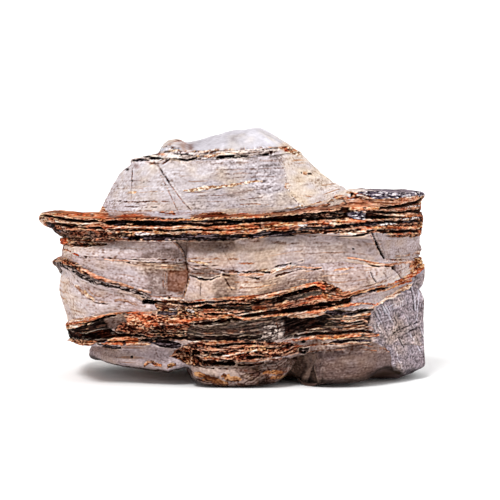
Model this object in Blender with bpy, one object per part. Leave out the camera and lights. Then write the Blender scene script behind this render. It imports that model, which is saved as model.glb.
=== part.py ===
"""Pagoda stone: one piece of layered rock, in metres, +Z up, +X right, +Y to the back.

Pale massive beds lie between thin rusty and dark plates, which weather less and stand out
of the sides as broken ledges. The stone rests on its feet, and the origin is on the
surface below the middle of its box.

The surface is a stack of rings around the upright axis. Each ring follows a bedding
surface, and each layer of rock stands out of, or back from, the outline of its bed.
"""

from collections import namedtuple

import bmesh
import bpy
import numpy as np

# Driving dimensions in metres
WIDTH = 0.200
DEPTH = 0.116
HEIGHT = 0.129

# Every length below this line is in millimetres. The finished stone is scaled to the
# driving dimensions, which are within a few hundredths of what the tables give.

# Vertices around the stone, rings of its underside and rings of its cap
COLUMNS = 78
SOLE_RINGS = 6
CAP_RINGS = 6

# The outline of a bed, seen from above, is the room inside eight upright faces. Their
# azimuths in degrees run from the right end by way of the back, the left end and the front.
FACE_AZIMUTHS = (3, 40, 86, 131, 182, 221, 267, 319)
CORNER_SHARPNESS = 13

# Distances of the eight faces from the axis
REACH = {
    "sole": (96, 76, 32, 66, 68, 63, 39, 78),
    "foot": (103, 85, 42, 78, 75, 74, 47, 82),
    "foot top": (101, 86, 43, 82, 74, 75, 44, 82),
    "lower": (101, 88, 46, 91, 87, 85, 50, 82),
    "left bed": (100, 88, 47, 84, 88, 85, 48, 84),
    "middle bed": (99, 86, 44, 80, 88, 86, 45, 87),
    "upper bed": (100.5, 84, 41, 84, 88, 82, 44, 90),
    "band low": (102, 87, 46, 88, 94, 86, 53, 92),
    "band": (99, 86, 49, 91, 101, 90, 56, 92),
    "shoulder": (102, 84, 38, 70, 72, 70, 40, 92),
    "dome foot": (67, 58, 37, 60, 68, 62, 39, 55),
    "dome low": (53, 51, 34, 56, 66.5, 58, 36, 47.5),
    "dome middle": (45.5, 46, 31, 50, 62.5, 52, 32, 42),
    "dome top": (35.5, 36, 25, 42, 54, 44, 26, 35),
    "cap": (34, 33, 22, 38, 49, 40, 23, 33),
}

# Heights of the bedding surfaces from the bottom to the top: along the front, as (x, z),
# and along the back, at the left and right end
BEDDING = {
    "foot top": (
        ((-86, 20.5), (-47, 21.8), (-24, 19.3), (-12, 13.7), (23, 13.7), (33, 17), (44, 19.8),
         (69, 23), (98, 17)),
        (17, 15),
    ),
    "lower top": (
        ((-86, 30), (-77, 34), (-62, 38), (-42, 39), (3, 39), (13, 42), (28, 46), (42, 49.5),
         (56, 46.5), (73, 51.5), (95, 60)),
        (32, 44),
    ),
    "left bed top": (
        ((-90, 60), (-84, 60), (-78, 56), (-67, 50.5), (-52, 47.5), (-43, 43.5), (-17, 39.6),
         (3, 39.8), (28, 46.8), (42, 50.3), (56, 47.3), (73, 52.3), (95, 61)),
        (50, 46),
    ),
    "second plate top": (
        ((-92, 63), (-84, 63.6), (-78, 60.5), (-67, 53.5), (-52, 50.5), (-43, 46), (-17, 41.6),
         (3, 42), (28, 49.5), (42, 53.3), (56, 49.3), (73, 53.8), (95, 63)),
        (53, 49),
    ),
    "middle bed top": (
        ((-89, 66.5), (-57, 64.2), (-24, 62.5), (-14, 58.5), (8, 57.1), (33, 62.2), (56, 64.2),
         (73, 61.2), (95, 64)),
        (63, 58),
    ),
    "seam top": (
        ((-89, 67.5), (-57, 65.2), (-24, 63.5), (-14, 60), (8, 59), (33, 63.8), (56, 65.4),
         (73, 62.4), (95, 65.2)),
        (64.5, 59.5),
    ),
    "upper bed top": (
        ((-86, 74), (-57, 74.6), (-22, 74.1), (13, 76.1), (33, 79), (58, 78), (69, 76), (95, 72.5)),
        (69, 70),
    ),
    "band top": (
        ((-99, 87.5), (-85, 88.4), (-65, 88.4), (-2, 87), (16, 87.5), (28, 89), (38, 90.5),
         (56, 92), (68, 92.5), (96, 91)),
        (79, 84),
    ),
    "shoulder top": (
        ((-99, 88), (45, 91.8), (53, 95), (58, 98), (64, 99.5), (80, 99), (96, 97.5)),
        (79.5, 88),
    ),
    "dome top": (
        ((-63, 111), (-52, 112.5), (-32, 114.8), (-20, 113.3), (8, 115.3), (21, 116.3), (34, 117.3)),
        (108, 113),
    ),
    "rim": (
        ((-50, 114.3), (-36, 117.6), (3, 118.8), (18, 120), (29, 120.3), (34, 118.3)),
        (110, 115),
    ),
}

# Half the stretch that the back heights are given for
BACK_HALF_WIDTH = 95

# The front heights hold in front of the first y, and the back heights behind the second
FRONT_TO_BACK = (-22, 30)

# A layer that pinches out keeps this thickness
THINNEST = 0.5

# Height and length of the waves of the bedding behind the front
WAVE_HEIGHT = 0.8
WAVE_LENGTH = 30

# The crest of the cap, as (x, z), and how fast it falls towards the front and the back
CREST = ((-47, 115.2), (-36, 119.5), (-32, 123), (-24, 121.5), (-10, 125), (3, 128), (11, 129),
         (21, 125.5), (34, 118))
CREST_FALL = 0.009

# How far out the cap keeps the height of the crest, more with a higher number
CREST_SHOULDER = 7

# One layer of rock: its top surface, the share of the way to it from the surface below,
# its outline at the bottom and at the top, how far it stands out of that outline, the
# bulge of its face, how deep its edge is broken, and its rings
Layer = namedtuple("Layer", "surface share low high stand_out bulge broken rings")

# The layers from the bottom to the top
LAYERS = (
    Layer("foot top", 1.0, "sole", "foot top", 0.0, 5.0, 0.8, 6),
    Layer("lower top", 0.16, "lower", "lower", -5.0, 0.0, 3.0, 2),
    Layer("lower top", 0.34, "lower", "lower", 1.0, 0.3, 4.0, 2),
    Layer("lower top", 0.52, "lower", "lower", -3.0, 0.0, 3.0, 2),
    Layer("lower top", 0.80, "lower", "lower", -0.5, 0.4, 3.0, 3),
    Layer("lower top", 1.0, "lower", "lower", 2.0, 0.2, 4.0, 2),
    Layer("left bed top", 1.0, "left bed", "left bed", -1.0, 1.8, 1.5, 4),
    Layer("second plate top", 1.0, "left bed", "left bed", 4.5, 0.2, 4.0, 2),
    Layer("middle bed top", 1.0, "middle bed", "middle bed", 0.0, 1.5, 1.5, 4),
    Layer("seam top", 1.0, "middle bed", "middle bed", 1.8, 0.2, 2.5, 2),
    Layer("upper bed top", 1.0, "upper bed", "upper bed", 0.0, 1.5, 1.2, 5),
    Layer("band top", 0.18, "band low", "band low", -5.0, 0.2, 4.0, 2),
    Layer("band top", 0.38, "band low", "band low", -1.0, 0.2, 4.0, 2),
    Layer("band top", 0.56, "band low", "band low", 1.0, 0.2, 3.5, 2),
    Layer("band top", 0.78, "band", "band", 1.5, 0.0, 4.0, 2),
    Layer("band top", 1.0, "band", "band", 1.0, 0.2, 3.5, 2),
    Layer("shoulder top", 1.0, "shoulder", "shoulder", 0.0, 0.2, 2.0, 2),
    Layer("dome top", 0.25, "dome foot", "dome low", 0.0, 0.4, 0.8, 3),
    Layer("dome top", 0.5, "dome low", "dome middle", 0.0, 0.3, 0.8, 2),
    Layer("dome top", 1.0, "dome middle", "dome top", 0.0, 0.8, 0.8, 3),
    Layer("rim", 1.0, "dome top", "cap", 0.8, 0.3, 1.0, 2),
)

# A layer whose edge is broken deeper than this is a plate, the others are beds
PLATE_BREAK = 2.0

# Widths of the small and large flakes that edges break into, and their shares of the break
SMALL_FLAKE = 12
SMALL_SHARE = 0.6
LARGE_FLAKE = 28
LARGE_SHARE = 0.7

# Distance in the noise between two layers, so that their edges break apart from each other
LAYER_APART = 50

# Slow swell of the faces: its depth on plates and on beds, its length, and a longer one
PLATE_SWELL = 2.6
BED_SWELL = 1.8
SWELL_LENGTH = 26
LONG_SWELL = 2.0
LONG_SWELL_LENGTH = 55

# How high the underside is lifted where the stone doesn't touch the ground
LEFT_FOOT_LIFT = 7.0
RIGHT_FOOT_LIFT = 3.0
RIGHT_END_LIFT = 6.0
LEFT_END_LIFT = 2.5
BACK_EDGE_LIFT = 3.0

# The grey fractured block at the right end: its left edge, as (z, x), its upper edge, as
# (x, z), the y where it ends at the back, and the depth and width of its upright ridges
BLOCK_LEFT = ((5, 81), (20, 72), (40, 69))
BLOCK_TOP = ((69, 38), (76, 41), (83, 49), (89, 52), (95, 50))
BLOCK_BACK = 19
BLOCK_SOFTNESS = 4
RIDGE_DEPTH = 1.5
RIDGE_WIDTH = 4
RIDGE_STRETCH = 8

# Forms of the front and of the back, as middle (x, z), half size, and how far they stand
# out, or in where that is negative
FRONT_FORMS = {
    "gap between left and middle foot": ((-23, 14), (4, 9), -5.0),
    "left foot": ((-52, 11), (28, 10), -7.0),
    "hollow between middle and right foot": ((36, 7), (8, 12), -16.0),
    "middle foot": ((3, 8), (22, 9), 3.0),
    "left dark block": ((-74, 28), (12, 7), 3.0),
    "step beside the left block": ((-56, 31), (5, 6), -3.0),
    "orange slab": ((-37, 35), (19, 4), 4.0),
    "left bulge": ((-58, 60), (27, 12), 3.5),
    "upright crack": ((-25, 64), (3, 10), -5.0),
    "brown recess": ((-29, 54), (5, 6), -5.0),
    "shaded recess": ((-16, 72), (13, 4), -4.0),
    "knob": ((-14, 49), (9, 5), 3.0),
    "right end block": ((84, 70), (13, 6), -4.0),
    "light facet": ((74, 57), (11, 5), 2.0),
    "dark recess under the right plates": ((55, 29), (18, 5), -3.0),
    "black gap in the band": ((42, 87.5), (14, 2), -5.0),
}
BACK_FORMS = {
    "upright hollow": ((22, 60), (7, 26), -5.0),
    "broken corner": ((-62, 40), (20, 14), -5.0),
    "low bulge": ((-20, 30), (22, 12), 4.0),
    "right bulge": ((60, 64), (20, 10), 3.5),
    "scar of the dome": ((-24, 100), (16, 12), -4.0),
}

# The material's colour and roughness, and the angle in radians past which two faces are
# shaded with a sharp edge
STONE_COLOUR = (0.55, 0.46, 0.42, 1.0)
STONE_ROUGHNESS = 0.9
SHARP_ANGLE = 0.6


def clear_scene():
    for item in list(bpy.data.objects):
        bpy.data.objects.remove(item, do_unlink=True)


def smooth_step(low, high, value):
    """Rise from 0 at low to 1 at high."""
    t = np.clip((value - low) / (high - low), 0.0, 1.0)
    return t * t * (3.0 - 2.0 * t)


def along_line(points, place):
    """Height of a line of (place, height) points."""
    stations, heights = zip(*points)
    return np.interp(place, stations, heights)


def lattice_value(ix, iy, iz, seed):
    """One fixed number from 0 to 1 for each whole lattice point."""
    mixed = (ix * 374761393 + iy * 668265263 + iz * 1442695041 + seed * 974711) & 0xFFFFFFFF
    mixed = ((mixed ^ (mixed >> 13)) * 1274126177) & 0xFFFFFFFF
    return ((mixed ^ (mixed >> 16)) & 0xFFFF) / 65535.0


def soft_noise(x, y, z, size, seed):
    """Smooth noise from -1 to 1 with waves of about the given size."""
    scaled = [np.asarray(axis) / size for axis in (x, y, z)]
    cell = [np.floor(axis).astype(np.int64) for axis in scaled]
    part = [axis - low for axis, low in zip(scaled, cell)]
    part = [t * t * (3.0 - 2.0 * t) for t in part]
    total = 0.0
    for dx in (0, 1):
        for dy in (0, 1):
            for dz in (0, 1):
                share = part[0] if dx else 1.0 - part[0]
                share = share * (part[1] if dy else 1.0 - part[1])
                share = share * (part[2] if dz else 1.0 - part[2])
                total = total + share * lattice_value(cell[0] + dx, cell[1] + dy, cell[2] + dz, seed)
    return 2.0 * total - 1.0


def flake_value(x, y, z, size, thickness, seed):
    """The number, 0 to 1, of the flake that each point lies in."""
    scaled = [np.asarray(x) / size, np.asarray(y) / size, np.asarray(z) / thickness]
    cell = [np.floor(axis).astype(np.int64) for axis in scaled]
    nearest = np.full(np.shape(scaled[0]), np.inf)
    value = np.zeros(np.shape(scaled[0]))
    for dx in (-1, 0, 1):
        for dy in (-1, 0, 1):
            for dz in (-1, 0, 1):
                ix, iy, iz = cell[0] + dx, cell[1] + dy, cell[2] + dz
                gap_x = ix + lattice_value(ix, iy, iz, seed) - scaled[0]
                gap_y = iy + lattice_value(ix, iy, iz, seed + 1) - scaled[1]
                gap_z = iz + lattice_value(ix, iy, iz, seed + 2) - scaled[2]
                distance = gap_x**2 + gap_y**2 + gap_z**2
                closer = distance < nearest
                nearest = np.where(closer, distance, nearest)
                value = np.where(closer, lattice_value(ix, iy, iz, seed + 3), value)
    return value


def outline(angle, reach):
    """Radius and outward normal of an eight-faced outline at each angle."""
    push = 0.0
    normal_x = 0.0
    normal_y = 0.0
    for azimuth, distance in zip(np.radians(FACE_AZIMUTHS), reach):
        facing = np.maximum(np.cos(angle - azimuth), 0.0) / distance
        push = push + facing**CORNER_SHARPNESS
        normal_x = normal_x + facing ** (CORNER_SHARPNESS - 1) * np.cos(azimuth) / distance
        normal_y = normal_y + facing ** (CORNER_SHARPNESS - 1) * np.sin(azimuth) / distance
    length = np.hypot(normal_x, normal_y)
    return push ** (-1.0 / CORNER_SHARPNESS), normal_x / length, normal_y / length


def column_angles():
    """Angles that share out the outline of the band evenly."""
    fine = np.linspace(-np.pi, np.pi, 2001)
    radius = outline(fine, REACH["band"])[0]
    steps = np.hypot(np.diff(radius * np.cos(fine)), np.diff(radius * np.sin(fine)))
    along = np.concatenate(([0.0], np.cumsum(steps)))
    places = np.linspace(0.0, along[-1], COLUMNS, endpoint=False)
    return np.interp(places, along, fine)


def sole_height(x, y):
    """Height of the underside: flat where the stone rests, higher under its ends."""
    left_foot = LEFT_FOOT_LIFT * smooth_step(-15, -27, x) * smooth_step(20, 0, y)
    right_foot = RIGHT_FOOT_LIFT * smooth_step(64, 76, x) * smooth_step(20, 0, y)
    right_end = RIGHT_END_LIFT * smooth_step(84, 99, x)
    left_end = LEFT_END_LIFT * smooth_step(-55, -74, x)
    back_edge = BACK_EDGE_LIFT * smooth_step(26, 40, y)
    return left_foot + left_end + right_foot + right_end + back_edge


def surface_heights(x, y):
    """Heights of all bedding surfaces at each place, every one above the one before it."""
    below = sole_height(x, y)
    heights = {"sole": below}
    wave = WAVE_HEIGHT * soft_noise(x, y, 0.0, WAVE_LENGTH, 3) * smooth_step(-30, 0, y)
    to_back = smooth_step(*FRONT_TO_BACK, y)
    for name, (front, (back_left, back_right)) in BEDDING.items():
        at_front = along_line(front, x)
        slope = (back_right - back_left) / (2.0 * BACK_HALF_WIDTH)
        at_back = back_left + slope * (x + BACK_HALF_WIDTH)
        height = at_front + (at_back - at_front) * to_back + wave
        heights[name] = np.maximum(height, below + THINNEST)
        below = heights[name]
    return heights


def form_push(x, z, forms):
    """How far some forms push the surface out or in at x and z."""
    total = 0.0
    for (middle_x, middle_z), (half_x, half_z), push in forms.values():
        spread = np.abs((x - middle_x) / half_x) ** 3 + np.abs((z - middle_z) / half_z) ** 3
        total = total + push * np.exp(-spread)
    return total


def side_forms(x, y, z):
    """Push of the forms, which belong to the front or to the back."""
    front = form_push(x, z, FRONT_FORMS) * smooth_step(5, -15, y)
    back = form_push(x, z, BACK_FORMS) * smooth_step(0, 15, y)
    return front + back


def block_share(x, y, z):
    """1 on the grey fractured block at the right end and 0 elsewhere."""
    half = BLOCK_SOFTNESS / 2.0
    left_edge = along_line(BLOCK_LEFT, z)
    upper_edge = along_line(BLOCK_TOP, x)
    right_of_edge = smooth_step(left_edge - half, left_edge + half, x)
    below_top = smooth_step(upper_edge + half, upper_edge - half, z)
    return right_of_edge * below_top * smooth_step(BLOCK_BACK + half, BLOCK_BACK - half, y)


def broken_edge(x, y, z, layer, number):
    """How far the edge of a layer is broken back, in large and small flakes."""
    height = z + LAYER_APART * number
    small = flake_value(x, y, height, SMALL_FLAKE, LAYER_APART, 11)
    large = flake_value(x, y, height, LARGE_FLAKE, LAYER_APART, 12)
    return layer.broken * (SMALL_SHARE * small + LARGE_SHARE * large)


def uneven_face(x, y, z, layer, number):
    """Slow swell of a face. Neighbouring plates swell on their own, beds together."""
    long_swell = LONG_SWELL * soft_noise(x, y, z / 2.0, LONG_SWELL_LENGTH, 8)
    if layer.broken > PLATE_BREAK:
        return long_swell + PLATE_SWELL * soft_noise(x, y, z + LAYER_APART * number, SWELL_LENGTH, 7)
    return long_swell + BED_SWELL * soft_noise(x, y, z, SWELL_LENGTH, 7)


def layer_reach(layer, step):
    """Distances of a layer's faces at a step from 0, its bottom, to 1, its top."""
    reach = np.array(REACH[layer.low]) * (1.0 - step) + np.array(REACH[layer.high]) * step
    if layer.low == "sole":
        reach = reach + (np.array(REACH["foot"]) - reach) * np.sin(np.pi * step) ** 2
    return reach


def layer_ring(angle, layer, number, below, way, step):
    """One ring of a layer, part of the way from the surface below to its own surface."""
    radius, normal_x, normal_y = outline(angle, layer_reach(layer, step))
    x = radius * np.cos(angle)
    y = radius * np.sin(angle)
    heights = surface_heights(x, y)
    z = heights[below] * (1.0 - way) + heights[layer.surface] * way
    block = block_share(x, y, z)
    bulge = layer.bulge * 4.0 * step * (1.0 - step)
    push = (layer.stand_out + bulge - broken_edge(x, y, z, layer, number)) * (1.0 - block)
    push = push + RIDGE_DEPTH * soft_noise(x, y, z / RIDGE_STRETCH, RIDGE_WIDTH, 17) * block
    push = push + uneven_face(x, y, z, layer, number) + side_forms(x, y, z)
    x = x + push * normal_x
    y = y + push * normal_y
    heights = surface_heights(x, y)
    return x, y, heights[below] * (1.0 - way) + heights[layer.surface] * way


def side_rings(angle):
    """Rings of the side, from the sole to the rim, each as arrays x, y and z."""
    rings = []
    below = "sole"
    share_below = 0.0
    for number, layer in enumerate(LAYERS):
        for step in np.linspace(0.0, 1.0, layer.rings):
            way = share_below + (layer.share - share_below) * step
            rings.append(layer_ring(angle, layer, number, below, way, step))
        share_below = layer.share % 1.0
        if share_below == 0.0:
            below = layer.surface
    return rings


def sole_rings(first):
    """Rings of the underside, from the middle out to the first ring of the side."""
    rings = []
    for share in (np.arange(SOLE_RINGS) + 1.0) / (SOLE_RINGS + 1.0):
        x = first[0] * share
        y = first[1] * share
        rings.append((x, y, sole_height(x, y)))
    return rings


def cap_rings(last):
    """Rings of the cap, from the last ring of the side in to the crest."""
    rings = []
    for share in 1.0 - (np.arange(CAP_RINGS) + 1.0) / (CAP_RINGS + 0.6):
        x = last[0] * share
        y = last[1] * share
        crest = along_line(CREST, x) - CREST_FALL * y**2
        rise = 1.0 - share**CREST_SHOULDER
        rings.append((x, y, last[2] + np.maximum(crest - last[2], 0.0) * rise))
    return rings


def stone_rings():
    """All rings from the bottom to the top."""
    side = side_rings(column_angles())
    return sole_rings(side[0]) + side + cap_rings(side[-1])


def fit_to_size(ball):
    """Scale each axis to the driving dimensions and stand the stone on the origin."""
    places = np.array([vertex.co[:] for vertex in ball.verts])
    low = places.min(axis=0)
    high = places.max(axis=0)
    scale = np.array([WIDTH, DEPTH, HEIGHT]) / (high - low)
    base = np.array([(low[0] + high[0]) / 2, (low[1] + high[1]) / 2, low[2]])
    for vertex, place in zip(ball.verts, places):
        vertex.co = (place - base) * scale


def build_stone():
    """Place the vertices of a ball, ring by ring, on the surface of the stone."""
    rings = stone_rings()
    ball = bmesh.new()
    bmesh.ops.create_uvsphere(ball, u_segments=COLUMNS, v_segments=len(rings) + 1, radius=1.0)
    for vertex in ball.verts:
        x, y, z = vertex.co
        steps_down = np.arccos(np.clip(z, -1.0, 1.0)) / np.pi * (len(rings) + 1)
        ring = len(rings) - int(round(steps_down))
        if ring < 0:
            vertex.co = (0.0, 0.0, 0.0)
        elif ring >= len(rings):
            vertex.co = (0.0, 0.0, rings[-1][2].mean() + THINNEST)
        else:
            column = int(round((np.arctan2(y, x) + np.pi) / (2.0 * np.pi) * COLUMNS)) % COLUMNS
            vertex.co = [axis[column] for axis in rings[ring]]
    fit_to_size(ball)
    bmesh.ops.recalc_face_normals(ball, faces=ball.faces)
    mesh = bpy.data.meshes.new("stone")
    ball.to_mesh(mesh)
    ball.free()
    mesh.shade_smooth()
    mesh.set_sharp_from_angle(angle=SHARP_ANGLE)
    mesh.materials.append(stone_material())
    return bpy.data.objects.new("stone", mesh)


def stone_material():
    material = bpy.data.materials.new("layered rock")
    material.use_nodes = True
    shader = material.node_tree.nodes["Principled BSDF"]
    shader.inputs["Base Color"].default_value = STONE_COLOUR
    shader.inputs["Roughness"].default_value = STONE_ROUGHNESS
    shader.inputs["Metallic"].default_value = 0.0
    return material


def main():
    clear_scene()
    collection = bpy.data.collections.new("pagoda stone")
    bpy.context.scene.collection.children.link(collection)
    collection.objects.link(build_stone())


main()
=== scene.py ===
"""The looks of the pagoda stone: pale beds of rock between thin rusty and black plates.

The surface is made in six closed pieces, one above the other: the feet, the lower plates,
the left bed, the middle beds, the band of plates that stands out, and the dome. Each is a
stack of rings that follow the bedding. What the front shows is drawn on it in pixels of the
front view, and the layers of that drawing run on around the ends and the back.
"""

import math
from collections import namedtuple
from itertools import product

import bpy
import numpy as np
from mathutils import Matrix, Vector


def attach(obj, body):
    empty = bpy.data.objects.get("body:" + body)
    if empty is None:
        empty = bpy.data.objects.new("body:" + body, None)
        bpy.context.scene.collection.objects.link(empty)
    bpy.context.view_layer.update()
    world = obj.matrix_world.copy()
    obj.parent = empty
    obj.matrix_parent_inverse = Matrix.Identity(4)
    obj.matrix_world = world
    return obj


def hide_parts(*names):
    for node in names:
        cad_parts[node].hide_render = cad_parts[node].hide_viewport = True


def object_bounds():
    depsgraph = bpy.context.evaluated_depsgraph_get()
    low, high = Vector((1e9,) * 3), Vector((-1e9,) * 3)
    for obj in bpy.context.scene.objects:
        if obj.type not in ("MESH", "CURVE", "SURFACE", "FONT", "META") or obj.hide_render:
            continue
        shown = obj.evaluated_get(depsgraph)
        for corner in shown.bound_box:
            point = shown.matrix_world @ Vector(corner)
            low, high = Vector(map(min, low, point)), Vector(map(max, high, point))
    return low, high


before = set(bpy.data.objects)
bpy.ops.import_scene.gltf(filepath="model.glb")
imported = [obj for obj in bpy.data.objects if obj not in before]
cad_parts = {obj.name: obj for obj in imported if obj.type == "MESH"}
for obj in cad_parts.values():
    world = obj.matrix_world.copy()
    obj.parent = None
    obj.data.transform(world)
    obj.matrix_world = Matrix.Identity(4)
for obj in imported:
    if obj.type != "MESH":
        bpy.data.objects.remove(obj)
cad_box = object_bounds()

# The front view: a camera that looks slightly down, in millimetres and degrees. A pixel of
# the view has the size PIXEL at the middle of the stone.
VIEW_SIZE = 500
PIXEL = 0.518
TILT = 5.0
DISTANCE = 1400.0
TARGET = (9.3, 0.0, 65.7)
SENSOR = 36.0

# Columns around the stone, how much closer they stand on the front than on the back, the
# depths that this changes between, and the number of places that the outline is measured at
COLUMNS = 860
FRONT_DENSITY = 2.2
DENSE_DEPTH = (20, 0)
OUTLINE_STEPS = 4001

# Share of the rings that are made
RING_SHARE = 1.0

# The outline of a bed, seen from above, is the room inside eight upright faces. Their
# azimuths in degrees run from the right end by way of the back, the left end and the front.
# The higher CORNER_SHARPNESS is, the less round are the corners between them.
FACE_AZIMUTHS = (3, 40, 86, 131, 182, 221, 267, 319)
CORNER_SHARPNESS = 13

# Distances of the eight faces from the axis, in millimetres
REACH = {
    "sole": (96, 76, 32, 66, 68, 65, 43, 79),
    "foot": (103, 85, 42, 78, 75, 74, 47, 82),
    "foot top": (101, 86, 43, 82, 74, 75, 44, 82),
    "lower": (101, 88, 45, 90, 86, 85, 49, 82),
    "left bed": (100, 88, 47, 84, 88, 85, 48, 84),
    "middle bed": (99, 86, 44, 80, 88, 86, 45, 87),
    "upper bed": (100.5, 84, 41, 84, 88, 82, 44, 90),
    "band low": (102, 87, 46, 88, 94, 86, 52, 92),
    "band": (99, 86, 49, 91, 101, 90, 55, 92),
    "shoulder": (102, 84, 38, 70, 72, 70, 41, 92),
    "dome foot": (67, 58, 37, 60, 68, 62, 39, 55),
    "dome low": (53, 51, 34, 56, 66.5, 58, 36, 47.5),
    "dome middle": (45.5, 46, 31, 50, 62.5, 52, 32, 42),
    "dome top": (35.5, 36, 25, 42, 54, 44, 26, 35),
    "cap": (34, 33, 22, 38, 49, 40, 23, 33),
}

# Heights of the bedding surfaces from the bottom to the top: along the front, as (x, z),
# and along the back, at the left and right end
BEDDING = {
    "foot top": (
        ((-86, 20.2), (-60, 20.4), (-47, 21.2), (-24, 19.3), (-12, 13.7), (23, 13.7), (33, 17),
         (44, 19.8), (69, 23), (98, 17)),
        (17, 15),
    ),
    "lower top": (
        ((-86, 30), (-77, 34), (-62, 38), (-42, 39), (3, 39), (13, 42), (28, 46), (42, 49.5),
         (56, 46.5), (73, 51.5), (95, 60)),
        (32, 44),
    ),
    "left bed top": (
        ((-90, 60), (-84, 60), (-78, 56), (-67, 50.5), (-52, 47.5), (-43, 43.5), (-17, 40.6),
         (3, 40.8), (28, 47.8), (42, 51.3), (56, 48.3), (73, 53.3), (95, 62)),
        (50, 46),
    ),
    "middle bed top": (
        ((-89, 66.5), (-57, 64.2), (-24, 62.5), (-14, 58.5), (8, 57.1), (33, 62.2), (56, 64.2),
         (73, 61.2), (95, 64)),
        (63, 58),
    ),
    "upper bed top": (
        ((-86, 74), (-57, 74.6), (-22, 74.1), (13, 76.1), (33, 79), (58, 78), (69, 76), (95, 72.5)),
        (69, 70),
    ),
    "band top": (
        ((-99, 85.8), (-94, 86.6), (-89, 87.4), (-85, 86.6), (-78, 86), (-65, 86), (-2, 87),
         (16, 87.5), (28, 89), (38, 90.5), (56, 92), (68, 92.5), (96, 91)),
        (79, 84),
    ),
    "shoulder top": (
        ((-99, 87), (45, 91.8), (50, 95.4), (54, 98.8), (60, 100), (66, 99.8), (80, 98.4), (96, 97.6)),
        (79.5, 88),
    ),
    "dome top": (
        ((-63, 111), (-52, 112.5), (-32, 114.8), (-20, 113.3), (8, 115.3), (21, 116.3), (34, 117.3)),
        (108, 113),
    ),
    "rim": (
        ((-50, 114.4), (-37.4, 116.6), (-35.6, 120.6), (-29, 121.6), (-25, 118.6), (3, 118.8), (18, 120),
         (29, 120.3), (34, 118.3)),
        (110, 115),
    ),
}
SURFACES = ("sole",) + tuple(BEDDING)

# Half width that the heights of the back are given for, the depths between which the heights
# of the front turn into those of the back, and the least height of a bed
BACK_HALF_WIDTH = 95
FRONT_TO_BACK = (-22, 30)
THINNEST = 0.5

# Depths between which waves of the beds and the rise of the right end fade in
BEHIND_FRONT = (-30, 0)

# Fall of the top of the shoulder to the back, as (x, slope), and the depth that it starts at
TOP_TILT = ((56, 0.1), (84, 0.01))
TOP_FRONT = -42

# The crest of the cap, as (x, z), how fast it falls towards the front and the back, and how
# sharply the cap bends down at its rim
CREST = ((-47, 115.2), (-37, 116.8), (-35.4, 121.8), (-33, 123.2), (-28, 123.2), (-24, 121.4),
         (-16.6, 122.8), (-11, 124.8), (-1, 127.3), (9, 128.7), (12.4, 129), (15.5, 128.6),
         (20, 126.2), (28.5, 121.8), (35, 118.6))
CREST_FALL = 0.009
CREST_SHOULDER = 7

# The underside at the front, as (x, z), where it isn't flat
SOLE_FRONT = ((-86, 10.4), (-73, 9.8), (-70, 9.4), (-66, 9), (-57, 8.4), (-46, 7.8), (-40, 7), (-36, 6.5),
              (-32, 6.4), (-28.5, 8), (-21.5, 9), (-20.5, 4.2), (-14, 1), (-3, 0), (8, 0.2), (22, 2.4),
              (29.5, 7.5), (32, 4), (34.4, 1.8), (38, 0.5), (43.4, 1), (45.4, 2.8), (54, 2.2), (64, 2.8),
              (68, 3.6), (74.4, 7.8), (79.4, 8.6), (84.5, 6.6), (88, 5.6), (92, 8.6), (97, 11), (101, 13))

# Depths between which the underside gets flat; left of LEFT_SOLE_END, shares of its height
# at some depths
SOLE_FADE = (-8, -34)
LEFT_SOLE_FADE = ((0, 1), (20, 0.6), (40, 0.3), (58, 0.1))
LEFT_SOLE_END = -21

# Rise of the underside at the right end and at the back, and where it rises
SOLE_RIGHT_RISE = 6.0
SOLE_RIGHT_WAY = (84, 99)
SOLE_BACK_RISE = 3.0
SOLE_BACK_WAY = (26, 40)

# The ends of the dome and of the stone below it in the front view, as (height, width) in pixels
DOME_LEFT = (
    (128, 256), (130, 240), (132, 230), (136, 215), (139, 178), (140, 167), (146, 163), (150, 162),
    (152.5, 156), (154, 148), (156, 142), (158, 141), (159, 132), (161, 131), (165, 131), (170, 124),
    (174, 120), (178, 118), (187, 112), (198, 107), (206, 103), (216, 98),
)
DOME_RIGHT = (
    (128, 257), (130, 262), (135, 275), (140, 285), (144, 291), (148, 297), (151, 300), (154, 301),
    (161, 308), (168, 315), (173, 320), (180, 330), (187, 340), (190, 345), (210, 360),
)
STONE_LEFT = (
    (205, 47), (211, 44), (214, 41), (219.5, 40), (222, 45), (224, 50), (226, 52), (229, 54), (232, 58),
    (234, 61), (237, 66), (238.5, 60), (243, 59), (245, 64), (250, 63), (256, 62), (257.5, 58), (259, 56),
    (261, 55), (264, 57), (266, 60), (270, 64), (272, 63), (280, 61), (287, 60), (295, 61), (305, 64),
    (316, 68), (321, 69), (328, 67), (330, 68), (337, 70), (339, 71), (342, 67), (344, 70), (345.5, 76),
    (347, 93), (350, 90), (355, 90), (359, 91), (362, 97), (366, 120), (370, 165), (377, 195), (388, 225),
)
FEET_LEFT = (
    (334, 99), (343, 97), (346, 92.5), (350, 90), (355, 90), (358, 91.5), (360, 95), (362, 103), (366, 120),
    (370, 165), (377, 195), (388, 225),
)
STONE_RIGHT = (
    (188, 414), (190, 415), (191, 418), (193, 422), (196, 424), (198, 422), (202, 420), (208, 420),
    (213, 421), (220, 422), (228, 421), (235, 420), (250, 421), (256, 419), (260, 420), (266, 423),
    (272, 425), (278, 424), (284, 420), (287, 416), (290, 418), (297, 422), (305, 424), (330, 423),
    (345, 424), (355, 426), (360, 428), (364, 425), (367, 418), (371, 412), (377, 406), (388, 380),
)

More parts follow.
